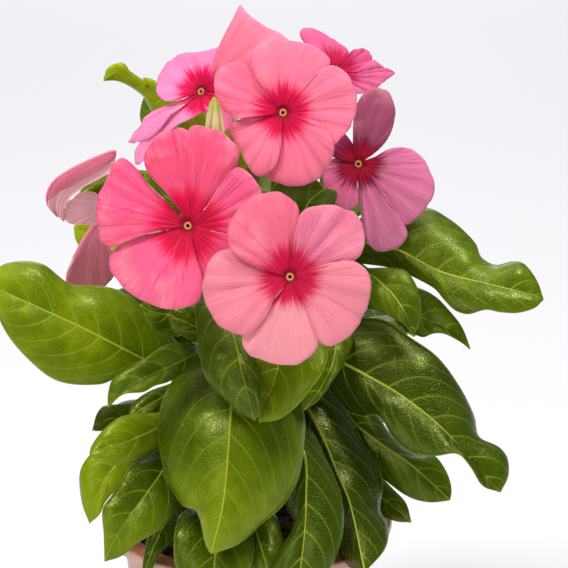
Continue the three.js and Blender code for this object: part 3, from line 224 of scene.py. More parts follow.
# The leaves on the far side and deep inside: shoot, height of the foot, half width, the way that the
# blade faces, and the midrib
FAR_LEAVES = {
  "leaf_31": ("back", 120, 15, [0, 0.3, 1], [[4, 40, 130], [10, 62, 128], [14, 78, 116]]),
  "leaf_32": ("back", 122, 15, [-0.2, 0.2, 1], [[-20, 28, 132], [-42, 40, 130], [-58, 48, 118]]),
  "leaf_33": ("left", 154, 8, [0, -1, 0.3],
    [[-19, 4, 172], [-30, 15, 178], [-45, 8, 180.5], [-54, 3.5, 175.5]]),
  "leaf_34": ("back", 148, 13, [0.2, 0.2, 1], [[8, 38, 158], [22, 48, 158], [34, 56, 150]]),
  "leaf_35": ("right", 124, 15, [0.2, 0.2, 1], [[30, 22, 132], [44, 38, 131], [54, 50, 120]]),
  "leaf_36": ("main", 96, 15, [0.2, 0.4, 1], [[14, 13, 105], [32, 34, 102], [44, 48, 90]]),
  "leaf_37": ("main", 98, 15, [-0.2, 0.4, 1], [[-14, 12, 106], [-33, 32, 103], [-46, 46, 91]]),
  "leaf_38": ("main", 158, 12, [0, 0.3, 1], [[4, 12, 168], [4, 30, 172], [4, 48, 163]]),
  "leaf_39": ("right", 164, 11, [0, 0.3, 1], [[28, 25, 172], [39, 38, 172], [49, 48, 161]]),
  "leaf_40": ("left", 138, 12, [-0.1, 0.3, 1], [[-20, 3, 145], [-31, 19, 146], [-40, 34, 136]]),
}

# The blooms: the throat as (u, v, Y), the axis, the shoot and the height of the stalk's foot on it, how
# far the petals lift, droop and overlap, and their outlines as (u, v), from one side of the throat round
# to the other; beneath names a petal that drops under both neighbours, and partings where an outline's
# sides and rim meet
BLOOMS = {
  "bloom_1": {
    "at": [188, 226, -46], "axis": [-0.05, -0.94, 0.33], "shoot": "left", "z": 172, "lift": 2.5,
    "droop": 2, "turn": 1.2,
    "petals": [
      [[182, 212], [166, 192], [148, 172], [145, 157], [155, 139], [174, 130], [182, 128], [187, 132],
       [191, 127], [205, 127], [222, 133], [239, 149], [236, 166], [212, 200]],
      [[205, 211], [220, 188], [237, 168], [252, 176], [264, 195], [266, 215], [255, 235], [227, 236]],
      [[214, 232], [240, 238], [238, 262], [222, 280], [205, 285], [196, 252]],
      [[196, 256], [204, 284], [198, 302], [177, 309], [150, 304], [124, 288], [109, 262], [122, 243],
       [160, 232]],
      [[165, 229], [138, 237], [112, 247], [102, 243], [97, 226], [97, 200], [104, 183], [121, 158],
       [136, 168], [150, 187], [167, 203]]],
  },
  "bloom_2": {
    "at": [290, 277, -58], "axis": [0, -0.94, 0.33], "shoot": "front", "z": 158, "lift": 2.5,
    "droop": 2.5, "turn": 1.3, "beneath": 3,
    "petals": [
      [[262, 270], [232, 251], [230, 222], [252, 197], [277, 192], [298, 206], [295, 240]],
      [[294, 240], [301, 213], [318, 206], [336, 206], [355, 215], [366, 238], [358, 258], [330, 270]],
      [[325, 264], [352, 261], [368, 272], [371, 292], [360, 322], [345, 341], [326, 346], [312, 330],
       [302, 300]],
      [[303, 301], [315, 324], [319, 344], [304, 361], [284, 366], [262, 360], [245, 350], [243, 334],
       [265, 303]],
      [[276, 295], [265, 318], [250, 334], [226, 330], [206, 306], [203, 280], [212, 258], [230, 248],
       [262, 266]]],
  },
  "bloom_3": {
    "at": [283, 113, -24], "axis": [0, -0.93, 0.36], "shoot": "main", "z": 196, "lift": 2.5,
    "droop": 2, "turn": 1.5,
    "petals": [
      [[262, 88], [252, 68], [254, 50], [270, 42], [295, 41], [318, 48], [330, 62], [318, 80],
       [300, 92]],
      [[298, 95], [312, 78], [332, 66], [350, 78], [357, 100], [352, 124], [338, 142], [325, 150],
       [308, 132]],
      [[318, 122], [333, 140], [332, 158], [320, 178], [300, 186], [280, 184], [266, 174], [281, 140]],
      [[281, 145], [276, 166], [263, 177], [252, 174], [240, 150], [228, 133], [236, 121], [258, 116]],
      [[257, 117], [236, 119], [220, 106], [214, 88], [218, 70], [235, 62], [252, 68], [268, 88]]],
  },
  "bloom_4": {
    "at": [202, 92, 0], "axis": [-0.5, -0.75, 0.42], "shoot": "main", "z": 188, "lift": 3, "droop": 1,
    "turn": 1.5,
    "petals": [
      [[193, 96], [175, 104], [165, 99], [161, 87], [165, 73], [174, 62], [186, 55], [203, 53],
       [224, 48], [213, 72]],
      [[212, 80], [226, 47], [236, 26], [244, 7], [252, 15], [268, 27], [291, 42], [285, 60],
       [250, 86], [225, 94]],
      [[226, 96], [240, 110], [237, 122], [226, 133], [213, 131], [206, 119], [206, 108]],
      [[212, 98], [215, 110], [205, 113], [193, 122], [181, 128], [150, 158], [137, 166], [139, 148],
       [180, 110]],
      [[180, 113], [166, 131], [150, 142], [136, 144], [129, 141], [142, 127], [149, 115], [166, 107],
       [186, 100]]],
  },
  "bloom_5": {
    "at": [333, 72, 14], "axis": [0.1, -0.75, 0.65], "shoot": "right", "z": 181, "lift": 3, "droop": 4,
    "turn": 1.2,
    "petals": [
      [[325, 68], [306, 48], [299, 36], [304, 29], [318, 31], [333, 40], [348, 52], [345, 64]],
      [[345, 60], [352, 53], [366, 53], [372, 60], [366, 72], [350, 78]],
      [[352, 74], [372, 64], [381, 69], [395, 74], [388, 80], [371, 92], [355, 94], [344, 84]],
      [[338, 84], [335, 100], [322, 104], [312, 96], [325, 80]],
      [[322, 78], [305, 84], [298, 74], [304, 62], [320, 66]]],
  },
  "bloom_6": {
    "at": [358, 164, 2], "axis": [0.15, -0.95, 0.25], "shoot": "right", "z": 180, "lift": 3,
    "droop": 2, "turn": 1.2,
    "petals": [
      [[352, 150], [352, 120], [358, 100], [372, 88], [386, 90], [395, 112], [388, 138], [372, 155]],
      [[372, 158], [390, 148], [412, 150], [430, 172], [433, 195], [420, 215], [405, 225], [390, 212],
       [372, 185]],
      [[372, 180], [390, 205], [407, 233], [400, 245], [380, 251], [366, 240], [360, 210], [358, 190]],
      [[356, 180], [355, 205], [345, 210], [330, 200], [322, 180], [330, 160], [345, 158]],
      [[345, 160], [330, 155], [328, 140], [338, 130], [350, 140], [355, 152]]],
  },
  "bloom_7": {
    "at": [112, 205, 0], "axis": [-0.5, 0.75, 0.35], "shoot": "left", "z": 166, "lift": 3, "droop": 2,
    "turn": 1.2, "partings": {0: [0.555, 0.655]},
    "petals": [
      [[121, 154], [100, 162], [76, 173], [56, 186], [50, 205], [57, 218], [66, 223], [64, 214],
       [69, 201], [84, 189], [98, 181], [113, 172]],
      [[98, 196], [82, 197], [71, 206], [66, 218], [70, 225], [84, 226], [98, 226]],
      [[99, 222], [84, 252], [66, 278], [70, 286], [93, 287], [113, 274], [108, 232]],
      [[114, 224], [130, 262], [140, 250], [138, 230], [118, 214]],
      [[120, 212], [138, 215], [142, 195], [132, 172], [116, 186]]],
  },
}


# Curves and frames in space

def unit(v):
    """Vectors along the last axis, brought to length 1."""
    return v / np.maximum(1e-9, np.linalg.norm(v, axis=-1, keepdims=True))


def ease(x, low, high):
    """0 below low, 1 above high, and the smooth step 3x^2 - 2x^3 between them."""
    x = np.clip((x - low) / (high - low), 0, 1)
    return x * x * (3 - 2 * x)


def bell(x, middle, width):
    """1 at the middle and falling off to both sides of it."""
    return np.exp(-(((x - middle) / width) ** 2))


def waves(x, heights, counts, shifts):
    """The sum of sines of x of the given heights, counts of waves and shifts."""
    return sum(h * np.sin(TURN * (count * x + shift)) for h, count, shift in zip(heights, counts, shifts))


def sight(u, v, y):
    """The points seen at (u, v) on the upright planes Y = y: the eye's ray through the picture, cut by
    the plane."""
    across = (np.asarray(u, float) - PICTURE / 2) / FOCAL
    up = (PICTURE / 2 - np.asarray(v, float)) / FOCAL
    sine, cosine = np.sin(PITCH), np.cos(PITCH)
    ray = np.stack([across, cosine + up * sine, up * cosine - sine], -1)
    return EYE + ray * ((np.asarray(y, float) - EYE[1]) / ray[..., 1])[..., None]


def running(points):
    """How far along the straight steps between the points each of them lies."""
    steps = np.linalg.norm(np.diff(points, axis=0), axis=1)
    return np.concatenate([[0], np.cumsum(np.maximum(SHORTEST_STEP, steps))])


def read_off(x, places, points):
    """The points that lie at x, where the given points lie at the given places, by straight steps."""
    return np.stack([np.interp(x, places, column) for column in points.T], -1)


def spline(points, shares):
    """A cubic through the points. Its knots are the running chord lengths, its slopes the central
    differences, and it is read at the given shares of its last knot."""
    p = np.asarray(points, float)
    knots = running(p)
    low = np.maximum(np.arange(len(p)) - 1, 0)
    high = np.minimum(np.arange(len(p)) + 1, len(p) - 1)
    slope = (p[high] - p[low]) / (knots[high] - knots[low])[:, None]
    k = np.asarray(shares, float) * knots[-1]
    i = np.clip(np.searchsorted(knots, k, side="right") - 1, 0, len(p) - 2)
    h = (knots[i + 1] - knots[i])[:, None]
    t = (k - knots[i])[:, None] / h
    return (
        p[i] * (2 * t**3 - 3 * t**2 + 1)
        + slope[i] * h * (t**3 - 2 * t**2 + t)
        + p[i + 1] * (3 * t**2 - 2 * t**3)
        + slope[i + 1] * h * (t**3 - t**2)
    )


SHOOT_PATHS = {name: spline(points, np.linspace(0, 1, 41)) for name, (points, _) in SHOOTS.items()}


def on_shoot(name, z):
    """The point of a shoot's axis at height z."""
    path = SHOOT_PATHS[name]
    return read_off(z, path[:, 2], path)


class Stalk:
    """The curve of a tube and its pedicel, from the throat down to the shoot, measured by its length: a
    cubic Bezier curve on the four points, or a smooth curve through them."""

    def __init__(self, points, through=False):
        t = np.linspace(0, 1, 201)[:, None]
        a, b, c, d = points
        bezier = (1 - t) ** 3 * a + 3 * t * (1 - t) ** 2 * b + 3 * t**2 * (1 - t) * c + t**3 * d
        self.at = spline(points, t[:, 0]) if through else bezier
        self.run = running(self.at)
        self.length = self.run[-1]

    def part(self, start, end, count):
        """count + 1 points between two distances from the throat."""
        return read_off(np.linspace(start, end, count + 1), self.run, self.at)


# Meshes

def placed(name, data, location=(0, 0, 0), rotation=(0, 0, 0)):
    """A new object in the scene."""
    made = bpy.data.objects.new(name, data)
    made.location, made.rotation_euler = location, rotation
    scene.collection.objects.link(made)
    return made


class Body:
    """Gathers closed surfaces, each with its own material and its attributes for every point."""

    def __init__(self):
        self.points, self.faces, self.slots, self.marks, self.count = [], [], [], {}, 0

    def add(self, points, faces, slot=0, **marks):
        """Adds a surface. A mark is one number, or one for each point, or rows of three. It is 0 where no
        value was given."""
        points = np.asarray(points, float).reshape(-1, 3)
        for name in dict.fromkeys([*self.marks, *marks]):
            held = self.marks.setdefault(name, [])
            value = np.asarray(marks.get(name, 0.0), float)
            filled = sum(len(m) for m in held)
            width = value.shape[-1] if value.ndim == 2 else (held[0].shape[-1] if held else 1)
            if filled < self.count:
                held.append(np.zeros((self.count - filled, width)))
            value = value.reshape(-1, 1) if value.ndim == 1 else value
            held.append(np.broadcast_to(value, (len(points), width)))
        self.points.append(points)
        for quads in faces:
            self.faces.append(np.asarray(quads) + self.count)
            self.slots.append(np.full(len(quads), slot))
        self.count += len(points)

    def add_sheet(self, grid, thickness, marks, upside_down=False):
        """Adds a thin sheet round a grid, with marks on both sides and a mark that is 1 on its lower
        side."""
        points, faces = sheet(grid, thickness)
        both = {k: np.tile(v.ravel(), 2) if np.shape(v) == grid.shape[:2] else v for k, v in marks.items()}
        under = np.repeat([1.0, 0.0] if upside_down else [0.0, 1.0], len(points) // 2)
        self.add(points, faces, under=under, **both)

    def make(self, name, materials):
        """One object at the origin, in metres, smooth, with the gathered attributes on its points."""
        mesh = bpy.data.meshes.new(name)
        faces = [f.tolist() for group in self.faces for f in group]
        mesh.from_pydata((np.concatenate(self.points) * MM).tolist(), [], faces)
        for material in materials:
            mesh.materials.append(material)
        mesh.polygons.foreach_set("material_index", np.concatenate(self.slots).astype(np.int32))
        mesh.polygons.foreach_set("use_smooth", np.ones(len(faces), bool))
        for key, held in self.marks.items():
            values = np.concatenate(held)
            kind, field = ("FLOAT", "value") if values.shape[1] == 1 else ("FLOAT_VECTOR", "vector")
            mesh.attributes.new(key, kind, "POINT").data.foreach_set(field, values.ravel())
        mesh.update()
        return placed(name, mesh)


def settle(piece, node):
    """Rides on the plant's one body and stands for its node, whose own part is hidden."""
    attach(piece, "root")
    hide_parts(node)


def patch(rows, cols, wrap=False):
    """The quads of a grid of points, whose columns close on themselves if wrap is set."""
    i, j = np.meshgrid(np.arange(rows - 1), np.arange(cols if wrap else cols - 1), indexing="ij")
    k = (j + 1) % cols
    quads = [i * cols + j, i * cols + k, (i + 1) * cols + k, (i + 1) * cols + j]
    return np.stack(quads, -1).reshape(-1, 4)


def sheet(grid, thickness):
    """A thin closed sheet round a grid: the grid moved out and in by half the thickness along its
    normals, joined round the rim. Returns its points, upper side first, and its faces."""
    rows, cols = grid.shape[:2]
    normals = unit(np.cross(np.gradient(grid, axis=1), np.gradient(grid, axis=0)))
    half = normals * (np.asarray(thickness) / 2)[..., None]
    points = np.concatenate([(grid + half).reshape(-1, 3), (grid - half).reshape(-1, 3)])
    quads = patch(rows, cols)
    n = rows * cols
    ids = np.arange(n).reshape(rows, cols)
    rim = np.concatenate([ids[0, :-1], ids[:-1, -1], ids[-1, :0:-1], ids[:0:-1, 0]])
    after = np.roll(rim, -1)
    return points, [quads, quads[:, ::-1] + n, np.stack([rim, rim + n, after + n, after], -1)]


def frames_along(path):
    """Two directions square to a path and to each other, carried on from point to point without twist."""
    along = unit(np.gradient(path, axis=0))
    side = np.empty_like(path)
    held = np.array([1.0, 0.13, 0.07])
    for k, forward in enumerate(along):
        held = held - forward * (held @ forward)
        held = held / np.linalg.norm(held)
        side[k] = held
    return side, np.cross(along, side)


def turn_round(sides):
    """As many angles as there are sides, evenly round a circle."""
    return np.linspace(0, TURN, sides, endpoint=False)


def capped(rings, sides):
    """The faces of rings of points, closed at both ends by fans on two points that are numbered last."""
    ids = np.arange(rings * sides).reshape(rings, sides)
    first, last, end = ids[0], ids[-1], rings * sides
    return [
        patch(rings, sides, wrap=True),
        np.stack([np.roll(first, -1), first, np.full(sides, end)], -1),
        np.stack([last, np.roll(last, -1), np.full(sides, end + 1)], -1),
    ]


def rod(path, radii, sides, ribs=0.0, rib_count=5, twist=0.0):
    """A rod along a path: rings of sides points at the given radii, with rib_count low ribs that turn by
    twist from end to end, closed by a point at each end."""
    side, other = frames_along(path)
    angle = turn_round(sides)[None]
    share = np.linspace(0, 1, len(path))[:, None]
    radius = np.interp(share, np.linspace(0, 1, len(radii)), radii)
    radius = radius * (1 + ribs * np.cos(rib_count * (angle - twist * share)))
    ring = side[:, None] * np.cos(angle)[..., None] + other[:, None] * np.sin(angle)[..., None]
    points = path[:, None] + ring * radius[..., None]
    return np.concatenate([points.reshape(-1, 3), path[:1], path[-1:]]), capped(len(path), sides)


def turned(profile, sides):
    """A body turned round Z from (radius, height) points, the first and last of them on the axis."""
    profile = np.asarray(profile, float)
    angle = turn_round(sides)
    far, z = profile[1:-1, :1], np.repeat(profile[1:-1, 1:], sides, axis=1)
    points = np.stack([far * np.cos(angle), far * np.sin(angle), z], -1).reshape(-1, 3)
    ends = [[0, 0, profile[0, 1]], [0, 0, profile[-1, 1]]]
    return np.concatenate([points, ends]), capped(len(far), sides)


# Materials

class Socket:
    """The end of a link in a material. Sums of sockets and numbers add Math nodes."""

    def __init__(self, paint, end):
        self.paint, self.end = paint, end

    def maths(self, operation, *values):
        return self.paint.node("ShaderNodeMath", {"operation": operation}, list(values))

    def __add__(self, other): return self.maths("ADD", self, other)
    def __radd__(self, other): return self.maths("ADD", other, self)
    def __sub__(self, other): return self.maths("SUBTRACT", self, other)
    def __rsub__(self, other): return self.maths("SUBTRACT", other, self)
    def __mul__(self, other): return self.maths("MULTIPLY", self, other)
    def __rmul__(self, other): return self.maths("MULTIPLY", other, self)
    def __truediv__(self, other): return self.maths("DIVIDE", self, other)


    def size(self):
        return self.maths("ABSOLUTE", self)

    def to_line(self):
        """How far the value is from the nearest whole number."""
        return self.maths("PINGPONG", self, 0.5)


    def between(self, low, high, start=0.0, end=1.0):
        """A smooth step from start to end as the value goes from low to high."""
        return self.paint.node(
            "ShaderNodeMapRange", {"interpolation_type": "SMOOTHSTEP"},
            {"Value": self, "From Min": low, "From Max": high, "To Min": start, "To Max": end},
        )


class Paint:
    """A material whose nodes are added by method calls."""

    def __init__(self, name, **fixed):
        self.material = bpy.data.materials.new(name)
        self.material.use_nodes = True
        self.tree = self.material.node_tree
        self.shader = self.tree.nodes["Principled BSDF"]
        for key, value in fixed.items():
            self.shader.inputs[key.replace("_", " ").title().replace("Ior", "IOR")].default_value = value

    def node(self, kind, settings=None, values=(), output=0):
        """Adds a node, sets its settings first, then the values or links of its sockets."""
        node = self.tree.nodes.new(kind)
        for key, value in (settings or {}).items():
            if key == "stops":
                ramp = node.color_ramp
                while len(ramp.elements) < len(value):
                    ramp.elements.new(0.5)
                for element, (place, colour) in zip(ramp.elements, value):
                    element.position = place
                    element.color = (*colour, 1)
            else:
                setattr(node, key, value)
        pairs = values.items() if isinstance(values, dict) else enumerate(values)
        for key, value in pairs:
            self.put(node.inputs[key], value)
        return Socket(self, node.outputs[output])

    def put(self, socket, value):
        if isinstance(value, Socket):
            self.tree.links.new(value.end, socket)
        elif isinstance(value, tuple) and len(value) == 3 and socket.type == "RGBA":
            socket.default_value = (*value, 1)
        else:
            socket.default_value = value

    def mark(self, name, output="Fac"):
        return self.node("ShaderNodeAttribute", {"attribute_name": name}, output=output)

    def parts(self, vector):
        split = self.node("ShaderNodeSeparateXYZ", {}, [vector]).end.node
        return [Socket(self, end) for end in split.outputs]

    def place(self, stretch=(1, 1, 1)):
        """Object coordinates, stretched."""
        place = self.node("ShaderNodeTexCoord", output="Object")
        return self.node("ShaderNodeVectorMath", {"operation": "MULTIPLY"}, [place, stretch])

    def join(self, x, y, z):
        return self.node("ShaderNodeCombineXYZ", {}, [x, y, z])

    def noise(self, place, scale, detail=2.0, roughness=0.5):
        return self.node(
            "ShaderNodeTexNoise", {"noise_dimensions": "3D"},
            {"Vector": place, "Scale": scale, "Detail": detail, "Roughness": roughness},
        )

    def cells(self, place, scale, feature="F1"):
        values = {"Vector": place, "Scale": scale}
        return self.node("ShaderNodeTexVoronoi", {"feature": feature}, values, "Distance")

    def mix(self, share, a, b):
        """Colour a turned to colour b by the share."""
        return self.node("ShaderNodeMix", {"data_type": "RGBA"}, {0: share, 6: a, 7: b}, output=2)

    def ramp(self, value, *stops):
        """The colour at the value, from stops of a place and a colour given as srgb takes it."""
        stops = [(place, srgb(*colour)) for place, *colour in stops]
        return self.node("ShaderNodeValToRGB", {"stops": stops}, [value])

    def bump(self, height, distance, strength=1.0, normal=None):
        values = {"Height": height, "Distance": distance, "Strength": strength}
        if normal:
            values["Normal"] = normal
        return self.node("ShaderNodeBump", {}, values)

    def finish(self, **sockets):
        for key, value in sockets.items():
            self.put(self.shader.inputs[key.replace("_", " ").title()], value)
        return self.material


def srgb(red, green, blue):
    """A colour given as it shows on a screen, 0 to 255, as the linear light that a shader takes."""
    c = np.array([red, green, blue]) / 255
    return tuple(np.where(c <= 0.04045, c / 12.92, ((c + 0.055) / 1.055) ** 2.4).tolist())


def leaf_paint():
    """Glossy green blade: arching pale side veins, a pale midrib and a fine net between, duller
    underneath."""
    p = Paint("glossy leaf", roughness=0.36, specular_ior_level=0.5, specular_tint=(0.85, 1.0, 0.2, 1),
              coat_weight=0.06, coat_roughness=0.22)
    vein, across, side = p.mark("vein"), p.mark("across"), p.mark("side")
    along, under, fresh = p.mark("along"), p.mark("under"), p.mark("fresh")
    place = p.place()
    edge = side.size()
    wander = p.noise(place, 260.0, 2.0) - 0.5
    line = (vein + wander * 0.06).to_line()
    wide = 0.036 - 0.02 * edge
    side_vein = (line / wide).between(0.3, 1.3, 1.0, 0.0) * edge.between(0.78, 0.95, 1.0, 0.0)
    rib_width = 0.75 - 0.5 * along
    rib = (across.size() / rib_width).between(0.55, 1.1, 1.0, 0.0)
    net = p.cells(place, 900.0, "DISTANCE_TO_EDGE").between(0.0, 0.09, 1.0, 0.0)
    patches = p.noise(place, 38.0, 3.0, 0.55)
    mottle = p.noise(place, 240.0, 3.0, 0.6)

    # The per-leaf green mixes the leaf's own tone with painted shade and painted light.
    tone = (fresh + (patches - 0.5) * 0.7 + (mottle - 0.5) * 0.25 + edge * 0.06).between(0.0, 1.0)
    green = p.ramp(tone, (0.0, 31, 46, 0), (0.35, 57, 78, 0), (0.7, 96, 118, 0), (1.0, 144, 160, 4))
    pale = srgb(160, 180, 50)
    shown = p.mix(net * 0.05, green, pale)
    shown = p.mix(line.between(0.02, 0.14, 0.08, 0.0), shown, pale)
    shown = p.mix(side_vein * 0.33, shown, pale)
    shown = p.mix(rib * 0.76, shown, srgb(172, 186, 56))
    shown = p.mix(edge.between(0.955, 1.0, 0.0, 0.45), shown, pale)
    shown = p.mix(under * 0.5, shown, srgb(124, 152, 72))
    height = side_vein * -0.5 + rib * 0.8 + mottle * 0.35 + net * -0.12
    grain = p.noise(place, 1500.0, 2.0, 0.6)
    bumped = p.bump(grain, 0.00016, 0.5, p.bump(height, 0.0004, 0.6))
    rough = 0.28 + under * 0.25 + (grain - 0.5) * 0.4 + (patches - 0.5) * 0.22
    return p.finish(base_color=shown, roughness=rough, normal=bumped)


def petal_paint():
    """Velvety petal: a crimson eye that bleeds outward in streaks, fine veins that fan out, paler backs,
    a few specks that catch the light through a lower roughness, and painted highlights: white glints
    painted near the rims."""
    p = Paint("petal", roughness=0.55, specular_ior_level=0.24, specular_tint=(1.0, 0.6, 0.75, 1),
              sheen_weight=0.04, sheen_roughness=0.4, sheen_tint=(1.0, 0.8, 0.86, 1))
    reach, ray, under, shade = p.mark("reach"), p.mark("ray"), p.mark("under"), p.mark("shade")
    outer, inner = p.mark("outer", "Vector"), p.mark("inner", "Vector")
    glow, veined = p.mark("glow"), p.mark("veined")
    place = p.place()
    streak = p.noise(p.join(ray * 8.0, reach * 0.05, 0.0), 1.0, 3.0, 0.65) - 0.5
    fine = p.noise(p.join(ray * 24.0, reach * 0.1, 3.0), 1.0, 2.0, 0.6) - 0.5
    cloud = p.noise(place, 110.0, 3.0, 0.6) - 0.5
    bled = (reach + streak * 9.0 + fine * 5.0) / glow
    eye = bled.between(0.66, 1.18, 1.0, 0.0)
    core = bled.between(0.42, 0.95, 1.0, 0.0)
    rim_tone = p.mix((shade * 0.5 + cloud * 1.2).between(0.0, 1.0) * 0.5, outer, inner)
    bleached = (cloud * 2.0 + reach * 0.02 - 0.2).between(0.0, 0.8)
    pale = p.mix(bleached * 0.45, rim_tone, srgb(252, 172, 184))
    shown = p.mix(eye, pale, inner)
    shown = p.mix(core * 0.75, shown, srgb(190, 0, 48))
    shown = p.mix(reach.between(1.4, 3.4, 0.5, 0.0), shown, srgb(110, 0, 20))
    vein = (fine * 1.8 + streak).between(0.08, 0.55) * reach.between(3.0, 12.0)
    shown = p.mix(vein * veined * (1.0 - under * 0.5), shown, p.mix(0.5, inner, srgb(140, 20, 70)))
    shown = p.mix((fine * -1.6).between(0.1, 0.6) * veined * 0.55, shown, srgb(255, 196, 204))
    # Painted highlight: white glints painted in specks near the rims.
    painted_glint = p.noise(p.join(ray * 26.0, reach * 0.45, 7.0), 1.0, 1.0).between(0.72, 0.8)
    shown = p.mix(painted_glint * reach.between(14.0, 22.0) * 0.6, shown, srgb(255, 232, 236))
    shown = p.mix(under * 0.72, shown, srgb(250, 200, 206))
    height = fine + streak * 0.6
    grain = p.noise(place, 1300.0, 2.0, 0.7)
    speck = p.noise(place, 520.0, 3.0, 0.8).between(0.66, 0.78)
    bumped = p.bump(grain, 0.0002, 0.5, p.bump(height, 0.0005, 0.6))
    return p.finish(base_color=shown, roughness=0.56 - speck * 0.34 + fine * 0.2, normal=bumped)


def throat_paint():
    """Tube and throat: pale green outside, a yellow-green ring, and painted shade that darkens the inside
    of the hole.
    """
    p = Paint("throat and tube", roughness=0.5, subsurface_weight=0.2, subsurface_scale=0.002)
    depth = p.mark("depth")
    # The lowest stops of the ramp are painted shade down the hole.
    colour = p.ramp(depth, (0.0, 52, 40, 8), (0.25, 110, 96, 24), (0.42, 170, 150, 46),
                    (0.52, 216, 160, 84), (0.6, 206, 80, 56), (0.7, 166, 8, 36), (0.88, 150, 0, 30),
                    (1.0, 168, 186, 120))
    speck = p.noise(p.place(), 1200.0, 2.0)
    return p.finish(base_color=p.mix((speck - 0.5) * 0.3, colour, srgb(226, 214, 150)),
                    normal=p.bump(speck, 0.0001, 0.5))


def stalk_paint():
    """Stems: waxy green with faint lengthwise ribs, browner and duller on the old wood near the soil."""
    p = Paint("stems", roughness=0.45, subsurface_weight=0.1, subsurface_scale=0.002)
    height = p.parts(p.place())[2]
    lines = p.noise(p.place((1.0, 1.0, 0.08)), 1400.0, 2.0)
    spots = p.noise(p.place(), 300.0, 3.0)
    green = p.mix(spots, srgb(96, 122, 36), srgb(154, 172, 84))
    wood = p.mix(spots, srgb(96, 84, 44), srgb(134, 122, 70))
    shown = p.mix(height.between(0.075, 0.11, 0.8, 0.0), green, wood)
    return p.finish(base_color=shown, roughness=0.4 + spots * 0.2, normal=p.bump(lines, 0.0002, 0.6))


def bud_paint():
    """Bud: rolled yellow-green petals, with painted shade darkening the turns between them."""
    p = Paint("bud", roughness=0.5, subsurface_weight=0.2, subsurface_scale=0.002)
    groove, along = p.mark("groove"), p.mark("along")
    lines = p.noise(p.place((1.0, 1.0, 0.1)), 900.0, 2.0)
    shown = p.mix(along.between(0.05, 0.4), srgb(176, 182, 62), srgb(240, 220, 156))
    # Painted shade: the turns between the rolls are darkened.
    shown = p.mix(groove.between(0.72, 1.0) * 0.6, shown, srgb(150, 96, 52))
    shown = p.mix((lines - 0.5) * 0.4, shown, srgb(190, 184, 96))
    return p.finish(base_color=shown, normal=p.bump(lines, 0.0002, 0.5))


def clay_paint():
    """Pot: pale terracotta with a soft gloss and faint marks, and a rough, more orange top to its lip."""
    p = Paint("terracotta-coloured pot", roughness=0.42, coat_weight=0.12, coat_roughness=0.3)
    rough_top = p.mark("rough_top")
    cloud = p.noise(p.place(), 26.0, 4.0, 0.6)
    scuffs = p.noise(p.place((1.0, 1.0, 0.25)), 420.0, 4.0, 0.7)
    grain = p.noise(p.place(), 1700.0, 2.0, 0.7)
    wall = p.mix(cloud.between(0.3, 0.75), srgb(196, 142, 124), srgb(214, 168, 152))
    wall = p.mix(scuffs.between(0.6, 0.8) * 0.3, wall, srgb(232, 208, 198))
    top = p.mix(grain.between(0.35, 0.7), srgb(170, 84, 48), srgb(232, 152, 108))
    shown = p.mix(rough_top, wall, top)
    height = grain * (0.15 + rough_top) + scuffs * 0.2
    return p.finish(base_color=shown, roughness=0.4 + rough_top * 0.35 + (scuffs - 0.5) * 0.2,
                    normal=p.bump(height, 0.0004, 0.55))


def earth_paint():
    """Moist dark potting soil, with painted shade darkening the hollows between the crumbs, and a few
    paler fibres.
    """
    p = Paint("potting soil", roughness=0.9, specular_ior_level=0.3)
    crumbs = p.cells(p.place(), 620.0)
    dust = p.noise(p.place(), 1500.0, 4.0, 0.7)
    shown = p.mix(dust, srgb(26, 15, 8), srgb(86, 58, 36))
    # Painted shade: darker where the cells' edges sink into hollows.
    shown = p.mix(crumbs.between(0.2, 0.6) * 0.6, shown, srgb(18, 11, 7))
    fibres = p.noise(p.place((1, 1, 0.2)), 500.0, 2.0).between(0.68, 0.75)
    shown = p.mix(fibres * 0.5, shown, srgb(120, 92, 60))
    return p.finish(base_color=shown, normal=p.bump(crumbs * -1.0 + dust * 0.5, 0.0008, 0.8))


# Leaves

LEAF_ROWS, LEAF_COLS = 64, 28
LEAF_THICKNESS = 0.42
LEAF_CROWDING = 1.25
SEEN_ARCH = 0.1
SEEN_WAVE = (0.6, 1.5, 0.0)
FAR_ARCH = 0.14
FAR_WAVE = (1.2, 1.6)
FAR_WAVE_SHIFT = 0.37
VEIN_STEP = 6.6
FEWEST_VEINS = 5
QUILT_HEIGHT, QUILT_WIDTH = 0.22, 0.16
DRIFT_HEIGHT = 0.45
ROLL_DEPTH = 0.5
STALK_SWELL = 1.5
RIB_SWELL, RIB_WIDTH = 0.7, 0.8
# How light a green each leaf is painted, from 0 for deep green to 1 for yellow-green, at its base and its
# tip: partly the leaf's own tone, partly painted shade where a leaf lies under the blooms (the base of
# leaf_01, leaf_17) and painted light where a leaf is lit
LEAF_TONE_AND_SHADE = {
    "leaf_01": (0.22, 0.72), "leaf_02": (0.2, 0.35), "leaf_03": (0.5, 0.6), "leaf_05": (0.5, 0.6),
    "leaf_09": (0.6, 0.75), "leaf_10": (0.5, 0.7), "leaf_11": (0.35, 0.5), "leaf_15": (0.05, 0.3),
    "leaf_16": (0.1, 0.4), "leaf_17": (0.0, 0.4), "leaf_18": (0.3, 0.5), "leaf_27": (0.8, 0.9),
    "leaf_28": (0.4, 0.6), "leaf_29": (0.6, 0.8),
}
USUAL_TONE_AND_SHADE = (0.3, 0.45)


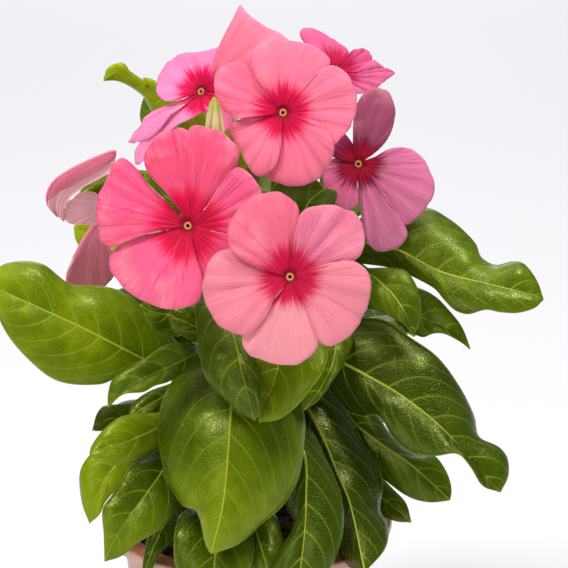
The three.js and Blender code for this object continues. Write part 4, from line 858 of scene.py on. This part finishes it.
def leaf_shape(rib, edges, arch, wave, random):
    """A blade between a midrib and two margins. Across it t runs from -1 to 1 and along it s from 0 to 1.
    Each half rises by arch * width * sin(pi |t|), its margin ripples by a sine of s that grows with t^2,
    and the skin bulges a little between the side veins, which leave the midrib slanting and curve towards
    the tip."""
    s = np.linspace(0, 1, LEAF_ROWS + 1)
    centre = spline(rib, s)
    margins = np.stack([spline(edge, s) for edge in edges])
    forward = unit(np.gradient(centre, axis=0))
    inner = np.clip(np.arange(LEAF_ROWS + 1), LEAF_ROWS // 7, LEAF_ROWS * 6 // 7)
    span = (margins[1] - margins[0])[inner]
    span = unit(span - forward * (span * forward).sum(-1, keepdims=True))
    normal = np.cross(span, forward)
    hand = np.array([-1.0, 1.0])[:, None]
    reach = (margins - centre) * ease(s, 0, 0.2)[:, None]
    least = PETIOLE_HALF_WIDTH * (1 - 0.9 * ease(s, 0.85, 1)) * hand
    narrow = (reach * span).sum(-1) * hand < np.abs(least)
    reach = np.where(narrow[..., None], span * least[..., None], reach)
    width = np.linalg.norm(reach, axis=-1)

    tau = np.linspace(-1, 1, LEAF_COLS + 1)
    t = np.sign(tau) * np.abs(tau) ** LEAF_CROWDING
    a = np.abs(t)
    half = (t > 0).astype(int)
    reach, width = reach[half].transpose(1, 0, 2), width[half].T
    s = s[:, None]
    across = width * t
    length = np.linalg.norm(np.diff(centre, axis=0), axis=1).sum()
    count = max(FEWEST_VEINS, round(0.85 * length / VEIN_STEP))
    vein = count * (s - (width / length) * (0.5 * a + 0.85 * a**3.2)) + random.random()
    body = ease(s, 0.1, 0.28) * (1 - ease(s, 0.8, 1.0))
    off_vein = np.abs(vein - np.round(vein))
    quilt = QUILT_HEIGHT * (1 - bell(off_vein, 0, QUILT_WIDTH)) * np.sin(np.pi * a) ** 0.6 * body
    height, waves_along, shift = wave
    ripple = height * np.sin(TURN * (waves_along * s + shift + 0.2 * np.sign(t)))
    ripple = ripple * a * a * np.sin(np.pi * s)
    drift = sum(
        (DRIFT_HEIGHT / k) * np.sin(TURN * (k * s * 0.9 + shift + 0.15 * t))
        for k, shift in enumerate(random.random(3), 1)
    )
    roll = -ROLL_DEPTH * a**8 * body
    stalk = 1 - ease(s, 0.03, 0.2)
    rib_swell = bell(across, 0, RIB_WIDTH) * (1 - 0.75 * s)
    swell = STALK_SWELL * stalk * np.sqrt(1 - 0.96 * t * t) + RIB_SWELL * rib_swell * (1 - stalk)
    rise = arch * width * np.sin(np.pi * a) + ripple + quilt + roll + drift * a * body - 0.2 * swell
    grid = centre[:, None] + reach * a[:, None] + normal[:, None] * rise[..., None]
    side, along = np.broadcast_to(t, vein.shape), np.broadcast_to(s, vein.shape)
    return grid, LEAF_THICKNESS + swell, dict(vein=vein, across=across, side=side, along=along)


def seen_leaf(shoot, z, behind, seen, *margins):
    """Midrib and margins in space, from where the eye sees them. The upper side is the one that faces the
    eye."""
    base = on_shoot(shoot, z)
    seen = np.array(seen, float)
    rib = np.vstack([base, sight(*seen.T)])
    depths = np.concatenate([[base[1]], seen[:, 2]])
    places = np.arange(len(depths)) / len(seen)
    edges = []
    for margin, back in zip(margins, behind):
        x = np.minimum(1, (np.arange(len(margin)) + 1.2) / (len(margin) + 1))
        depth = np.interp(x, places, depths) + back * np.sin(np.pi * np.minimum(0.95, x)) ** 0.5
        edges.append(np.vstack([base, sight(*np.array(margin, float).T, depth), rib[-1]]))
    middle = len(edges[0]) // 2
    span = edges[1][min(middle, len(edges[1]) - 1)] - edges[0][middle]
    if np.cross(span, rib[-1] - base) @ (EYE - rib[-1]) < 0:
        edges.reverse()
    return rib, edges


def far_leaf(shoot, z, half, up, rib):
    """Midrib and margins of a leaf of the usual outline: half its width grows as sin(pi s^1.05)^0.8."""
    rib = np.vstack([on_shoot(shoot, z), rib])
    s = np.linspace(0, 1, 9)
    centre = spline(rib, s)
    right = unit(np.cross(unit(np.gradient(centre, axis=0)), up))
    half = half * 1.02 * np.maximum(0, np.sin(np.pi * s**1.05)) ** 0.8
    return rib, [centre - right * half[:, None], centre + right * half[:, None]]


def add_leaf(name, rib, edges, arch, wave, fresh, material):
    """One leaf, whose random draws start from its number."""
    random = np.random.default_rng(int(name[-2:]))
    grid, thickness, marks = leaf_shape(rib, edges, arch, wave, random)
    # The green at the base and the tip: own tone, with painted shade or painted light on some leaves.
    base, tip = fresh
    marks["fresh"] = base + (tip - base) * marks["along"]
    body = Body()
    body.add_sheet(grid, thickness, marks)
    settle(body.make("look_" + name, [material]), name)


def make_leaves(material):
    for name, leaf in LEAVES.items():
        add_leaf(name, *seen_leaf(*leaf), SEEN_ARCH, SEEN_WAVE, LEAF_TONE_AND_SHADE.get(name, USUAL_TONE_AND_SHADE), material)
    for name, leaf in FAR_LEAVES.items():
        wave = (*FAR_WAVE, leaf[2] * FAR_WAVE_SHIFT)
        add_leaf(name, *far_leaf(*leaf), FAR_ARCH, wave, USUAL_TONE_AND_SHADE, material)


# Blooms

PETAL_ROWS, PETAL_COLS = 22, 36
OUTLINE_STEPS = 180
RAGGED_STEPS, RAGGED_DEPTH = 23, 0.008
PLEAT_HEIGHTS, PLEAT_COUNTS = (0.22, 0.14), (3.2, 7.5)
FLUTTER_HEIGHTS, FLUTTER_COUNTS = (0.4, 0.16), (1.1, 4.3)
HEMMED_PLEATS = 0.3
GROOVE_DEPTH, GROOVE_WIDTH = 0.3, 0.1
# A petal's thickness at its rim, what its middle adds to that, and what its foot adds
RIM_THICKNESS, MIDDLE_THICKNESS, FOOT_THICKNESS = 0.12, 0.3, 0.2
# Every petal lies over its neighbour on one hand only, the same way round in each bloom, but for one that
# drops beneath both of its neighbours.
TURN_HAND = -1
BENEATH = 1.7
# Margins that fold back over their petal: which side of it, how wide as a share of half its width,
# towards its face (1) or its back (-1), and between which shares of its length the fold begins and ends
HEM_COLS = 10
HEM_HEIGHT = 0.9
HEMS = {
    ("bloom_1", 3): (1, 0.17, 1, (0.35, 0.6, 0.9, 1.0)),
    ("bloom_7", 0): (-1, 0.95, -1, (0.2, 0.45, 0.7, 0.95)),
    ("bloom_7", 2): (-1, 0.42, -1, (0.05, 0.3, 0.9, 1.0)),
}
# Creases along a petal: where across it, how deep in millimetres and how wide
CREASES = {
    ("bloom_1", 0): [(-0.45, 0.5, 0.06), (0.05, 0.6, 0.07), (-0.25, 0.3, 0.05), (0.6, 1.3, 0.1)],
    ("bloom_1", 1): [(0.1, 0.5, 0.07)],
    ("bloom_1", 3): [(0.68, 1.6, 0.08), (0.2, 0.5, 0.08), (-0.3, 0.4, 0.08)],
    ("bloom_1", 4): [(0.2, 0.4, 0.08)],
    ("bloom_2", 0): [(0.35, 0.9, 0.1), (-0.2, 0.4, 0.07)],
    ("bloom_2", 1): [(-0.4, 0.7, 0.1)],
    ("bloom_2", 2): [(0.1, 0.5, 0.08)],
    ("bloom_2", 3): [(0.0, 0.5, 0.08)],
    ("bloom_2", 4): [(0.15, 0.6, 0.12)],
    ("bloom_3", 0): [(-0.3, 0.5, 0.08), (0.4, 0.5, 0.08)],
    ("bloom_3", 1): [(0.1, 0.5, 0.1)],
    ("bloom_4", 1): [(0.25, 1.4, 0.06)],
    ("bloom_6", 1): [(-0.2, 0.6, 0.09)],
}
# Each bloom's colour at the rim, its hot colour round the eye, how far that reaches in millimetres, and
# how strongly its veins show
PETAL_COLOURS = {
    "bloom_1": ((240, 88, 132), (232, 8, 72), 11.0, 0.5),
    "bloom_2": ((236, 136, 152), (208, 18, 72), 9.0, 0.2),
    "bloom_3": ((248, 124, 154), (240, 4, 86), 8.5, 0.22),
    "bloom_4": ((255, 146, 196), (250, 0, 100), 8.0, 0.3),
    "bloom_5": ((232, 104, 154), (206, 20, 92), 8.0, 0.35),
    # bloom_6's eye colour is a darker copy of the crimson: painted shade.
    "bloom_6": ((234, 126, 168), (124, 0, 44), 8.0, 0.35),
    "bloom_7": ((255, 142, 168), (214, 20, 80), 9.0, 0.06),
}
# The petals whose rim is painted another colour than their bloom's: painted shade darkens those that lie
# in shade, painted light brightens those that are lit
PETAL_RIMS_LIT_AND_SHADED = {
    ("bloom_1", 0): (228, 74, 112), ("bloom_1", 3): (248, 98, 142), ("bloom_2", 0): (230, 108, 132),
    ("bloom_2", 1): (222, 114, 142), ("bloom_2", 3): (240, 150, 158), ("bloom_3", 4): (246, 108, 140),
    ("bloom_4", 1): (250, 124, 152), ("bloom_6", 0): (166, 80, 112), ("bloom_6", 3): (255, 122, 170),
    ("bloom_6", 4): (150, 50, 92),
}
# The throat's ring and hole: radius, height along the bloom's axis, and place on the throat's ramp of
# colours
THROAT = np.array([
    [0.0, -0.9, 0.0], [0.32, -0.8, 0.05], [0.4, -0.2, 0.2], [0.48, 0.45, 0.38], [0.62, 0.8, 0.45],
    [0.85, 0.85, 0.55], [1.15, 0.6, 0.68], [1.7, 0.25, 0.8], [THROAT_RADIUS, -0.3, 0.9],
    [THROAT_RADIUS * 0.95, -1.8, 1.0], [0.0, -2.7, 1.0],
])
THROAT_SIDES, TUBE_SIDES = 24, 16
FIRST_BLOOM_DRAW = 100


class BloomFrame:
    """A bloom's own plane: its throat, its axis, and right and up as seen along the axis."""

    def __init__(self, bloom):
        self.at = sight(*bloom["at"])
        self.axis = unit(np.array(bloom["axis"], float))
        up = np.array([0, 0, 1.0])
        self.up = unit(up - self.axis * (up @ self.axis))
        self.right = np.cross(self.up, self.axis)

    def on_limb(self, seen):
        """The points of the bloom's plane that are seen at (u, v), as (right, up) from its throat."""
        ray = sight(*np.array(seen, float).T, 0.0) - EYE
        reach = ((self.at - EYE) @ self.axis) / (ray @ self.axis)
        off = EYE + ray * reach[:, None] - self.at
        return np.stack([off @ self.right, off @ self.up], -1)

    def place(self, right, up, height):
        steps = zip((self.right, self.up, self.axis), (right, up, height))
        return sum((way * np.asarray(far)[..., None] for way, far in steps), self.at)


def spaced(points, shares):
    """The points at the given shares of the length of the straight steps between the given ones."""
    run = running(points)
    return read_off(np.asarray(shares) * run[-1], run, points)


def parted(outline, parting):
    """A petal's outline in two sides and a rim. It parts at the given shares of its length, or else where
    it swings furthest to either hand, as seen from the throat."""
    outline = np.column_stack([outline, np.zeros(len(outline))])
    flat = spline(outline, np.linspace(0, 1, OUTLINE_STEPS + 1))[:, :2]
    middle = OUTLINE_STEPS // 2
    x, y = flat[middle]
    swing = np.arctan2(x * flat[:, 1] - y * flat[:, 0], flat @ flat[middle])
    swing = swing * np.sign(swing[-1] - swing[0])
    first, last = np.argmin(swing[:middle]), middle + np.argmax(swing[middle:])
    if parting:
        first, last = (round(share * OUTLINE_STEPS) for share in parting)
    claws = CLAW_RADIUS * unit(flat[[first, last]])
    left = np.vstack([claws[0], flat[: first + 1]])
    right = np.vstack([claws[1], flat[last:][::-1]])
    return left, right, flat[first : last + 1]


def petal(bloom, place, number, hem, crease, random):
    """A fan of rays from the throat to the rim, bowed as the two sides are. Across it u runs from -1 to 1
    and outwards v from 0 to 1. A petal rises as a sine of its reach and droops as its square, and it tips
    so that one edge lies over the next petal. Low pleats fan out along it. A hem is a strip along one
    side that folds back over the petal, on the side that it is told to."""
    outline = place.on_limb(bloom["petals"][number])
    left, right, rim = parted(outline, bloom.get("partings", {}).get(number))
    v = (np.linspace(0, 1, PETAL_ROWS + 1) ** 0.85)[:, None]
    u = np.linspace(-1, 1, PETAL_COLS + 1)[None] * np.ones_like(v)
    fold = np.zeros_like(u)
    if hem:
        side, width, way, fade = hem
        strip = np.linspace(0, 1, HEM_COLS + 1)[None, 1:]
        reachable = ease(v, *fade[:2]) * (1 - ease(v, *fade[2:]))
        back = side * (1 - width * strip * reachable)
        bulge = way * HEM_HEIGHT * np.sqrt(strip) * (1 - 0.35 * strip) * reachable
        parts = [(u, fold), (back, bulge)] if side > 0 else [(back[:, ::-1], bulge[:, ::-1]), (u, fold)]
        u, fold = (np.hstack([part[k] for part in parts]) for k in (0, 1))
    share = (u + 1) / 2
    ragged = np.interp(u, np.linspace(-1, 1, RAGGED_STEPS), random.normal(0, 1, RAGGED_STEPS))
    edge = spaced(rim, share) * (1 + RAGGED_DEPTH * ragged * (1 - u**8) * v**2)[..., None]
    claw = CLAW_RADIUS * unit(edge)
    flat = claw + (edge - claw) * v[..., None]
    for path, weight in ((left, 1 - share), (right, share)):
        bow = spaced(path, v[:, 0]) - (path[0] + (path[-1] - path[0]) * v)
        flat = flat + bow[:, None] * weight[..., None]
    r = np.linalg.norm(flat, axis=-1)
    x = r / LIMB_RADIUS
    rise = bloom["lift"] * np.sin(np.pi * np.minimum(1, x) * 0.6) - bloom["droop"] * x * x
    tilt = BENEATH * np.abs(u) if bloom.get("beneath") == number else u
    over = bloom["turn"] * tilt * np.minimum(1, 2.5 * x) * TURN_HAND
    shift = random.random(4)
    pleats = waves(u, PLEAT_HEIGHTS, PLEAT_COUNTS, shift[:2])
    if hem:
        pleats = HEMMED_PLEATS * pleats
    groove = -GROOVE_DEPTH * bell(u, 0, GROOVE_WIDTH)
    for at, depth, wide in crease:
        groove = groove - depth * bell(u, at, wide) * v
    reflex = -random.uniform(0.1, 0.9) * v**9 - 0.3 * np.abs(u) ** 12
    flutter = waves(u, FLUTTER_HEIGHTS, FLUTTER_COUNTS, shift[2:]) * v**3
    height = rise + over + (pleats + groove) * np.minimum(1, x * 1.6) + reflex + flutter + fold
    grid = place.place(flat[..., 0], flat[..., 1], height)
    columns = np.linspace(0, 1, u.shape[1])[None]
    margin = np.minimum(1, 18 * columns) * np.minimum(1, 18 * (1 - columns)) * np.minimum(1, 9 * (1 - v))
    thickness = RIM_THICKNESS + MIDDLE_THICKNESS * np.sqrt(margin) + FOOT_THICKNESS * (1 - v)
    return grid, thickness, dict(reach=r, ray=u + 5 * random.random(), shade=random.random())


def faces_back(grid, axis):
    """Whether the first side of a petal's grid looks away from its bloom's axis, as told in its
    middle."""
    row, column = PETAL_ROWS // 2, PETAL_COLS // 2
    across = np.gradient(grid[row], axis=0)[column]
    return not np.cross(across, (grid[row + 1] - grid[row])[column]) @ axis > 0


def add_tube(body, place, stalk, tube):
    """The throat's ring and hole, turned about the bloom's axis, and the tube that narrows behind it."""
    points, faces = turned(THROAT[:, :2], THROAT_SIDES)
    depth = np.concatenate([np.repeat(THROAT[1:-1, 2], THROAT_SIDES), THROAT[[0, -1], 2]])
    body.add(place.place(*points.T), [f[:, ::-1] for f in faces], 1, depth=depth)
    start = place.place(0.0, 0.0, -1.2)
    path = spline(np.vstack([start, stalk.part(6, tube - GAP, 6)]), np.linspace(0, 1, 25))
    radii = [THROAT_RADIUS * 0.9, THROAT_RADIUS * 0.8, TUBE_RADIUS, 1.2, 1.3, TUBE_RADIUS]
    body.add(*rod(path, radii, TUBE_SIDES), 1, depth=1.0)


def bloom_stalk(bloom, place):
    """The stalk of a bloom and the length of the tube on it."""
    root = on_shoot(bloom["shoot"], bloom["z"])
    bend = (root + [0, 0, 6]) * 0.85 + place.at * 0.15
    stalk = Stalk([place.at, place.at - place.axis * 15, bend, root])
    return stalk, min(TUBE_LENGTH, stalk.length - 6)


def make_blooms(petal_material, throat_material):
    """Each bloom as one piece. Returns the stalks, for the pedicels and calyxes."""
    stalks = []
    for number, (name, bloom) in enumerate(BLOOMS.items()):
        random = np.random.default_rng(FIRST_BLOOM_DRAW + number)
        place = BloomFrame(bloom)
        outer, inner, glow, veined = PETAL_COLOURS[name]
        body = Body()
        for k in range(len(bloom["petals"])):
            key = (name, k)
            grid, thickness, marks = petal(bloom, place, k, HEMS.get(key), CREASES.get(key, []), random)
            # The rim colour carries the petal's painted light or painted shade where the table gives one.
            rim = srgb(*PETAL_RIMS_LIT_AND_SHADED.get(key, outer))
            marks.update(outer=[rim], inner=[srgb(*inner)], glow=glow, veined=veined)
            body.add_sheet(grid, thickness, marks, upside_down=faces_back(grid, place.axis))
        stalk, tube = bloom_stalk(bloom, place)
        add_tube(body, place, stalk, tube)
        settle(body.make("look_" + name, [petal_material, throat_material]), name)
        stalks.append((stalk, tube))
    return stalks


# Bud: its tip and foot as seen, and its radius from the tip down to the end of its tube
BUD = {
    "at": [214, 97, -31], "foot": [216, 138, -29], "shoot": "main", "z": 184, "tube": 18,
    "radii": [0.8, 1.8, 2.4, 2.8, 1.7, 1.2],
}
BUD_RINGS, BUD_SIDES = 60, 40
BUD_ROLLS, BUD_TWIST, BUD_RELIEF = 5, 0.5, 0.08
BUD_SMOOTHING = 4


def make_bud(material):
    """A slender body along its stalk, with five rolls that turn round it, closed at a point."""
    tip, foot = sight(*BUD["at"]), sight(*BUD["foot"])
    root = on_shoot(BUD["shoot"], BUD["z"])
    bend = (foot + root) / 2 - [0, 0, 4]
    stalk = Stalk([tip, foot, bend, root], through=True)
    share = np.linspace(0, 1, BUD_RINGS)
    radii = np.interp(share, np.linspace(0, 1, len(BUD["radii"])), BUD["radii"])
    window = 2 * BUD_SMOOTHING + 1
    radii = np.convolve(np.pad(radii, BUD_SMOOTHING, mode="edge"), np.ones(window) / window, mode="valid")
    radii = radii * np.sqrt(np.minimum(1, share * 9 + 0.02))
    path = stalk.part(0, BUD["tube"] - GAP, BUD_RINGS - 1)
    points, faces = rod(path, radii, BUD_SIDES, ribs=BUD_RELIEF, rib_count=BUD_ROLLS, twist=BUD_TWIST)
    groove = 0.5 - 0.5 * np.cos(BUD_ROLLS * (turn_round(BUD_SIDES)[None] - BUD_TWIST * share[:, None]))
    marks = dict(groove=groove, along=np.broadcast_to(share[:, None], groove.shape))
    body = Body()
    body.add(points, faces, **{name: np.append(values, [0.0, 0.0]) for name, values in marks.items()})
    settle(body.make("look_bud", [material]), "bud")
    return stalk, BUD["tube"]


# Stems

SEPALS = 5
SEPAL_RADII = [0.75, 0.6, 0.42, 0.12]
CALYX_RADII = [0.9, 1.75, 2.15, 2.2, 2.1, 1.7]
NODE_SWELL, NODE_WIDTH, MOST_SWELL = 0.5, 2.2, 0.9


def add_calyx(body, stalk, tube):
    """A cup round the foot of the tube, and five awl-shaped sepals that lean out from its rim."""
    body.add(*rod(stalk.part(tube + 1.2, tube - 3.0, 8), CALYX_RADII, 20))
    path = stalk.part(tube - 1.6, tube - 5.2, 12)
    side, other = frames_along(path)
    lean = np.linspace(0, 1, len(path))[:, None]
    for k in range(SEPALS):
        angle = TURN * k / SEPALS
        out = side * np.cos(angle) + other * np.sin(angle)
        body.add(*rod(path + out * (1.75 + 1.3 * lean**1.4), SEPAL_RADII, 8))


def make_stems(stalks, material):
    """Shoots that swell a little where leaves leave them, pedicels and calyxes, in one piece."""
    body = Body()
    for name, (_, radii) in SHOOTS.items():
        path = SHOOT_PATHS[name]
        radius = np.linspace(*radii, len(path))
        for shoot, z, *_ in [*LEAVES.values(), *FAR_LEAVES.values()]:
            if shoot == name:
                radius = radius + NODE_SWELL * bell(path[:, 2], z, NODE_WIDTH)
        body.add(*rod(path, np.minimum(radius, radii[0] + MOST_SWELL), 20, ribs=0.03, rib_count=4))
    for stalk, tube in stalks:
        path = stalk.part(tube + 0.6, stalk.length, 24)
        body.add(*rod(path, [1.05, PEDICEL_RADIUS, PEDICEL_RADIUS, 1.1], 12))
        add_calyx(body, stalk, tube)
    settle(body.make("look_stems", [material]), "stems")


# Pot and soil

POT_SIDES, DRAIN_SIDES = 144, 32
POT_ROUNDING, ROUNDING_STEPS = 0.9, 6
SOIL_RINGS, SOIL_SIDES = 80, 240
SOIL_DRAW = 7
# The soil's lumps: their height, their size, and the number that their random draws start from
LUMPS = [(0.9, 7.0, 1), (0.6, 2.6, 2), (0.3, 1.2, 3)]
LUMPS_SINK = 0.5
CRUMBS, CRUMB_SIDES = 520, 7
CRUMB = [[0, -1], [0.75, -0.6], [1, 0.1], [0.6, 0.75], [0, 0.95]]


def wall_radius(z):
    """The outer radius of the pot's wall at height z."""
    return BASE_RADIUS + (LIP_RADIUS - LIP_OVERHANG - BASE_RADIUS) * z / POT_HEIGHT


def bend_round(profile, radius):
    """A profile whose inner corners are rounded: each is replaced by a quadratic curve between two points
    at the given distance from it, or at less than half a side."""
    p = np.asarray(profile, float)
    out = [p[:1]]
    for a, b, c in zip(p[:-2], p[1:-1], p[2:]):
        shares = [min(0.45, radius / max(1e-9, np.linalg.norm(end - b))) for end in (a, c)]
        before, after = b + (a - b) * shares[0], b + (c - b) * shares[1]
        t = np.linspace(0, 1, ROUNDING_STEPS)[:, None]
        out.append((1 - t) ** 2 * before + 2 * t * (1 - t) * b + t**2 * after)
    return np.concatenate([*out, p[-1:]])


def make_pot(material):
    """The turned wall with its flanged lip, and drain holes cut through the floor round its solid
    middle."""
    foot = POT_HEIGHT - LIP_HEIGHT
    outside = [[0, 0], [BASE_RADIUS, 0], [wall_radius(foot), foot], [LIP_RADIUS, foot + 0.2]]
    mouth = [[LIP_RADIUS, POT_HEIGHT], [wall_radius(POT_HEIGHT) - POT_WALL, POT_HEIGHT - 0.4]]
    inside = [[wall_radius(FLOOR) - POT_WALL, FLOOR], [0, FLOOR]]
    profile = bend_round([*outside, *mouth, *inside], POT_ROUNDING)
    points, faces = turned(profile, POT_SIDES)
    radius = np.linalg.norm(points[:, :2], axis=1)
    rough_top = ease(points[:, 2], POT_HEIGHT - 0.7, POT_HEIGHT - 0.25)
    rough_top = rough_top * ease(radius, 38.0, 38.6) * (1 - ease(radius, 44.2, 44.8))
    body = Body()
    body.add(points, faces, rough_top=rough_top)
    pot = body.make("look_pot", [material])
    holes = Body()
    for k in range(DRAIN_HOLES):
        angle = TURN * (k + 0.5) / DRAIN_HOLES
        bore = [[0, -1], [DRAIN_RADIUS, -1], [DRAIN_RADIUS, FLOOR + 1], [0, FLOOR + 1]]
        points, faces = turned(bore, DRAIN_SIDES)
        holes.add(points + [DRAIN_CIRCLE * np.cos(angle), DRAIN_CIRCLE * np.sin(angle), 0], faces)
    cutter = holes.make("drain holes", [material])
    cut = pot.modifiers.new("drain holes", "BOOLEAN")
    cut.object, cut.operation, cut.solver = cutter, "DIFFERENCE", "EXACT"
    bpy.context.view_layer.update()
    shaped = bpy.data.meshes.new_from_object(pot.evaluated_get(bpy.context.evaluated_depsgraph_get()))
    pot.modifiers.clear()
    pot.data = shaped
    bpy.data.objects.remove(cutter)
    settle(pot, "pot")


def lumps(x, y, size, random):
    """Smooth random heights from -1 to 1 over a plane: a lattice of random numbers, eased between its
    points."""
    cells = int(2 * LIP_RADIUS / size) + 3
    lattice = random.uniform(-1, 1, (cells, cells))
    gx, gy = (x + LIP_RADIUS) / size, (y + LIP_RADIUS) / size
    i, j = np.floor(gx).astype(int), np.floor(gy).astype(int)
    fx, fy = ease(gx - i, 0, 1), ease(gy - j, 0, 1)
    low = lattice[i, j] * (1 - fx) + lattice[i + 1, j] * fx
    high = lattice[i, j + 1] * (1 - fx) + lattice[i + 1, j + 1] * fx
    return low * (1 - fy) + high * fy


def relief(x, y):
    """How far the soil's lumps stand out at (x, y)."""
    heights = (height * lumps(x, y, size, np.random.default_rng(draw)) for height, size, draw in LUMPS)
    return sum(heights) - LUMPS_SINK


def make_soil(material):
    """A dome of soil with lumps of three sizes, and loose crumbs pressed into it, all in one piece."""
    random = np.random.default_rng(SOIL_DRAW)
    edge = wall_radius(SOIL_TOP - SOIL_DOME) - POT_WALL - GAP - 0.1
    foot = wall_radius(FLOOR) - POT_WALL - GAP
    floor = FLOOR + GAP

    def dome(r):
        return SOIL_TOP - SOIL_DOME + SOIL_DOME * np.cos(np.pi * r / (2 * edge))

    r = np.linspace(edge, 0.2, SOIL_RINGS)
    upper_side = np.column_stack([r, dome(r)])
    lower_side = [[0, floor], [foot - 1, floor], [foot, FLOOR + 1 + GAP]]
    profile = np.vstack([lower_side, upper_side, [0, SOIL_TOP]])
    points, faces = turned(profile, SOIL_SIDES)
    upper = points[:, 2] > SOIL_TOP - SOIL_DOME - 0.1
    inside = 1 - ease(np.linalg.norm(points[:, :2], axis=1), edge - 1.0, edge)
    points[:, 2] += np.where(upper, relief(points[:, 0], points[:, 1]) * inside, 0)
    body = Body()
    body.add(points, faces)
    for _ in range(CRUMBS):
        angle, far = random.uniform(0, TURN), (edge - 1.8) * np.sqrt(random.uniform(0.012, 1))
        x, y = far * np.cos(angle), far * np.sin(angle)
        size = random.uniform(0.45, 1.5) * (1 if random.random() < 0.85 else 1.6)
        lump, lump_faces = turned(CRUMB, CRUMB_SIDES)
        lump = lump * (size * random.uniform(0.6, 1.3, 3))
        lump = lump * (1 + 0.16 * random.normal(size=(len(lump), 1)))
        turn = random.uniform(0, TURN)
        spin = np.array([[np.cos(turn), -np.sin(turn), 0], [np.sin(turn), np.cos(turn), 0], [0, 0, 1]])
        z = dome(far) + relief(np.array([x]), np.array([y]))[0]
        body.add(lump @ spin.T + [x, y, z + 0.15 * size], lump_faces)
    settle(body.make("look_soil", [material]), "soil")


# Studio: lights by name, with their place, aim, size, power and colour

SENSOR_WIDTH = 36.0
FLOOR_HALF_WIDTH = 3000.0
PLANT_MIDDLE = (0.0, 0.0, 0.13)
WHITE = (1.0, 1.0, 1.0)
LIGHTS = {
    "left key": ((-0.45, -0.45, 1.2), PLANT_MIDDLE, 0.4, 8.5, (1.0, 0.98, 0.95)),
    "right key": ((0.5, -0.2, 1.25), PLANT_MIDDLE, 0.34, 7.5, (1.0, 0.99, 0.98)),
    "fill": ((-0.4, -1.1, 0.45), PLANT_MIDDLE, 0.6, 2.7, WHITE),
    "overhead": ((0.0, 0.9, 3.0), (0.0, 0.9, 0.0), 2.4, 27.0, WHITE),
    "backdrop": ((0.0, 2.1, 1.2), (0.0, 1.5, 0.0), 1.4, 15.0, WHITE),
}
SKY_COLOUR, SKY_STRENGTH = (0.94, 0.95, 1.0, 1), 0.2


def make_camera():
    camera = bpy.data.cameras.new("camera")
    camera.sensor_width = SENSOR_WIDTH
    camera.lens = camera.sensor_width * FOCAL / PICTURE
    scene.camera = placed("camera", camera, (EYE * MM).tolist(), (np.pi / 2 - PITCH, 0, 0))


def make_floor():
    body = Body()
    corners = [[-1, -1, 0], [1, -1, 0], [1, 1, 0], [-1, 1, 0]]
    body.add(FLOOR_HALF_WIDTH * np.array(corners), [[[0, 1, 2, 3]]])
    paint = Paint("studio floor", roughness=0.8, specular_ior_level=0.1)
    shade = paint.noise(paint.place(), 3.0)
    colour = paint.mix(shade, srgb(232, 232, 236), srgb(236, 236, 239))
    body.make("studio_floor", [paint.finish(base_color=colour)])


def add_light(name, place, aim, size, power, colour):
    """A round light that faces the point aim."""
    light = bpy.data.lights.new(name, "AREA")
    light.shape, light.size, light.energy, light.color = "DISK", size, power, colour
    away = np.array(place, float) - np.array(aim, float)
    turn = np.arctan2(away[0], -away[1])
    tilt = np.arctan2(np.hypot(away[0], away[1]), away[2])
    placed(name, light, place, (tilt, 0, turn))


def make_studio():
    world = bpy.data.worlds.new("studio")
    world.use_nodes = True
    background = world.node_tree.nodes["Background"].inputs
    background["Color"].default_value, background["Strength"].default_value = SKY_COLOUR, SKY_STRENGTH
    scene.world = world
    scene.view_settings.view_transform = "Standard"
    for name, light in LIGHTS.items():
        add_light(name, *light)


make_camera()
make_studio()
make_floor()
make_leaves(leaf_paint())
stalks = make_blooms(petal_paint(), throat_paint())
stalks.append(make_bud(bud_paint()))
make_stems(stalks, stalk_paint())
make_pot(clay_paint())
make_soil(earth_paint())
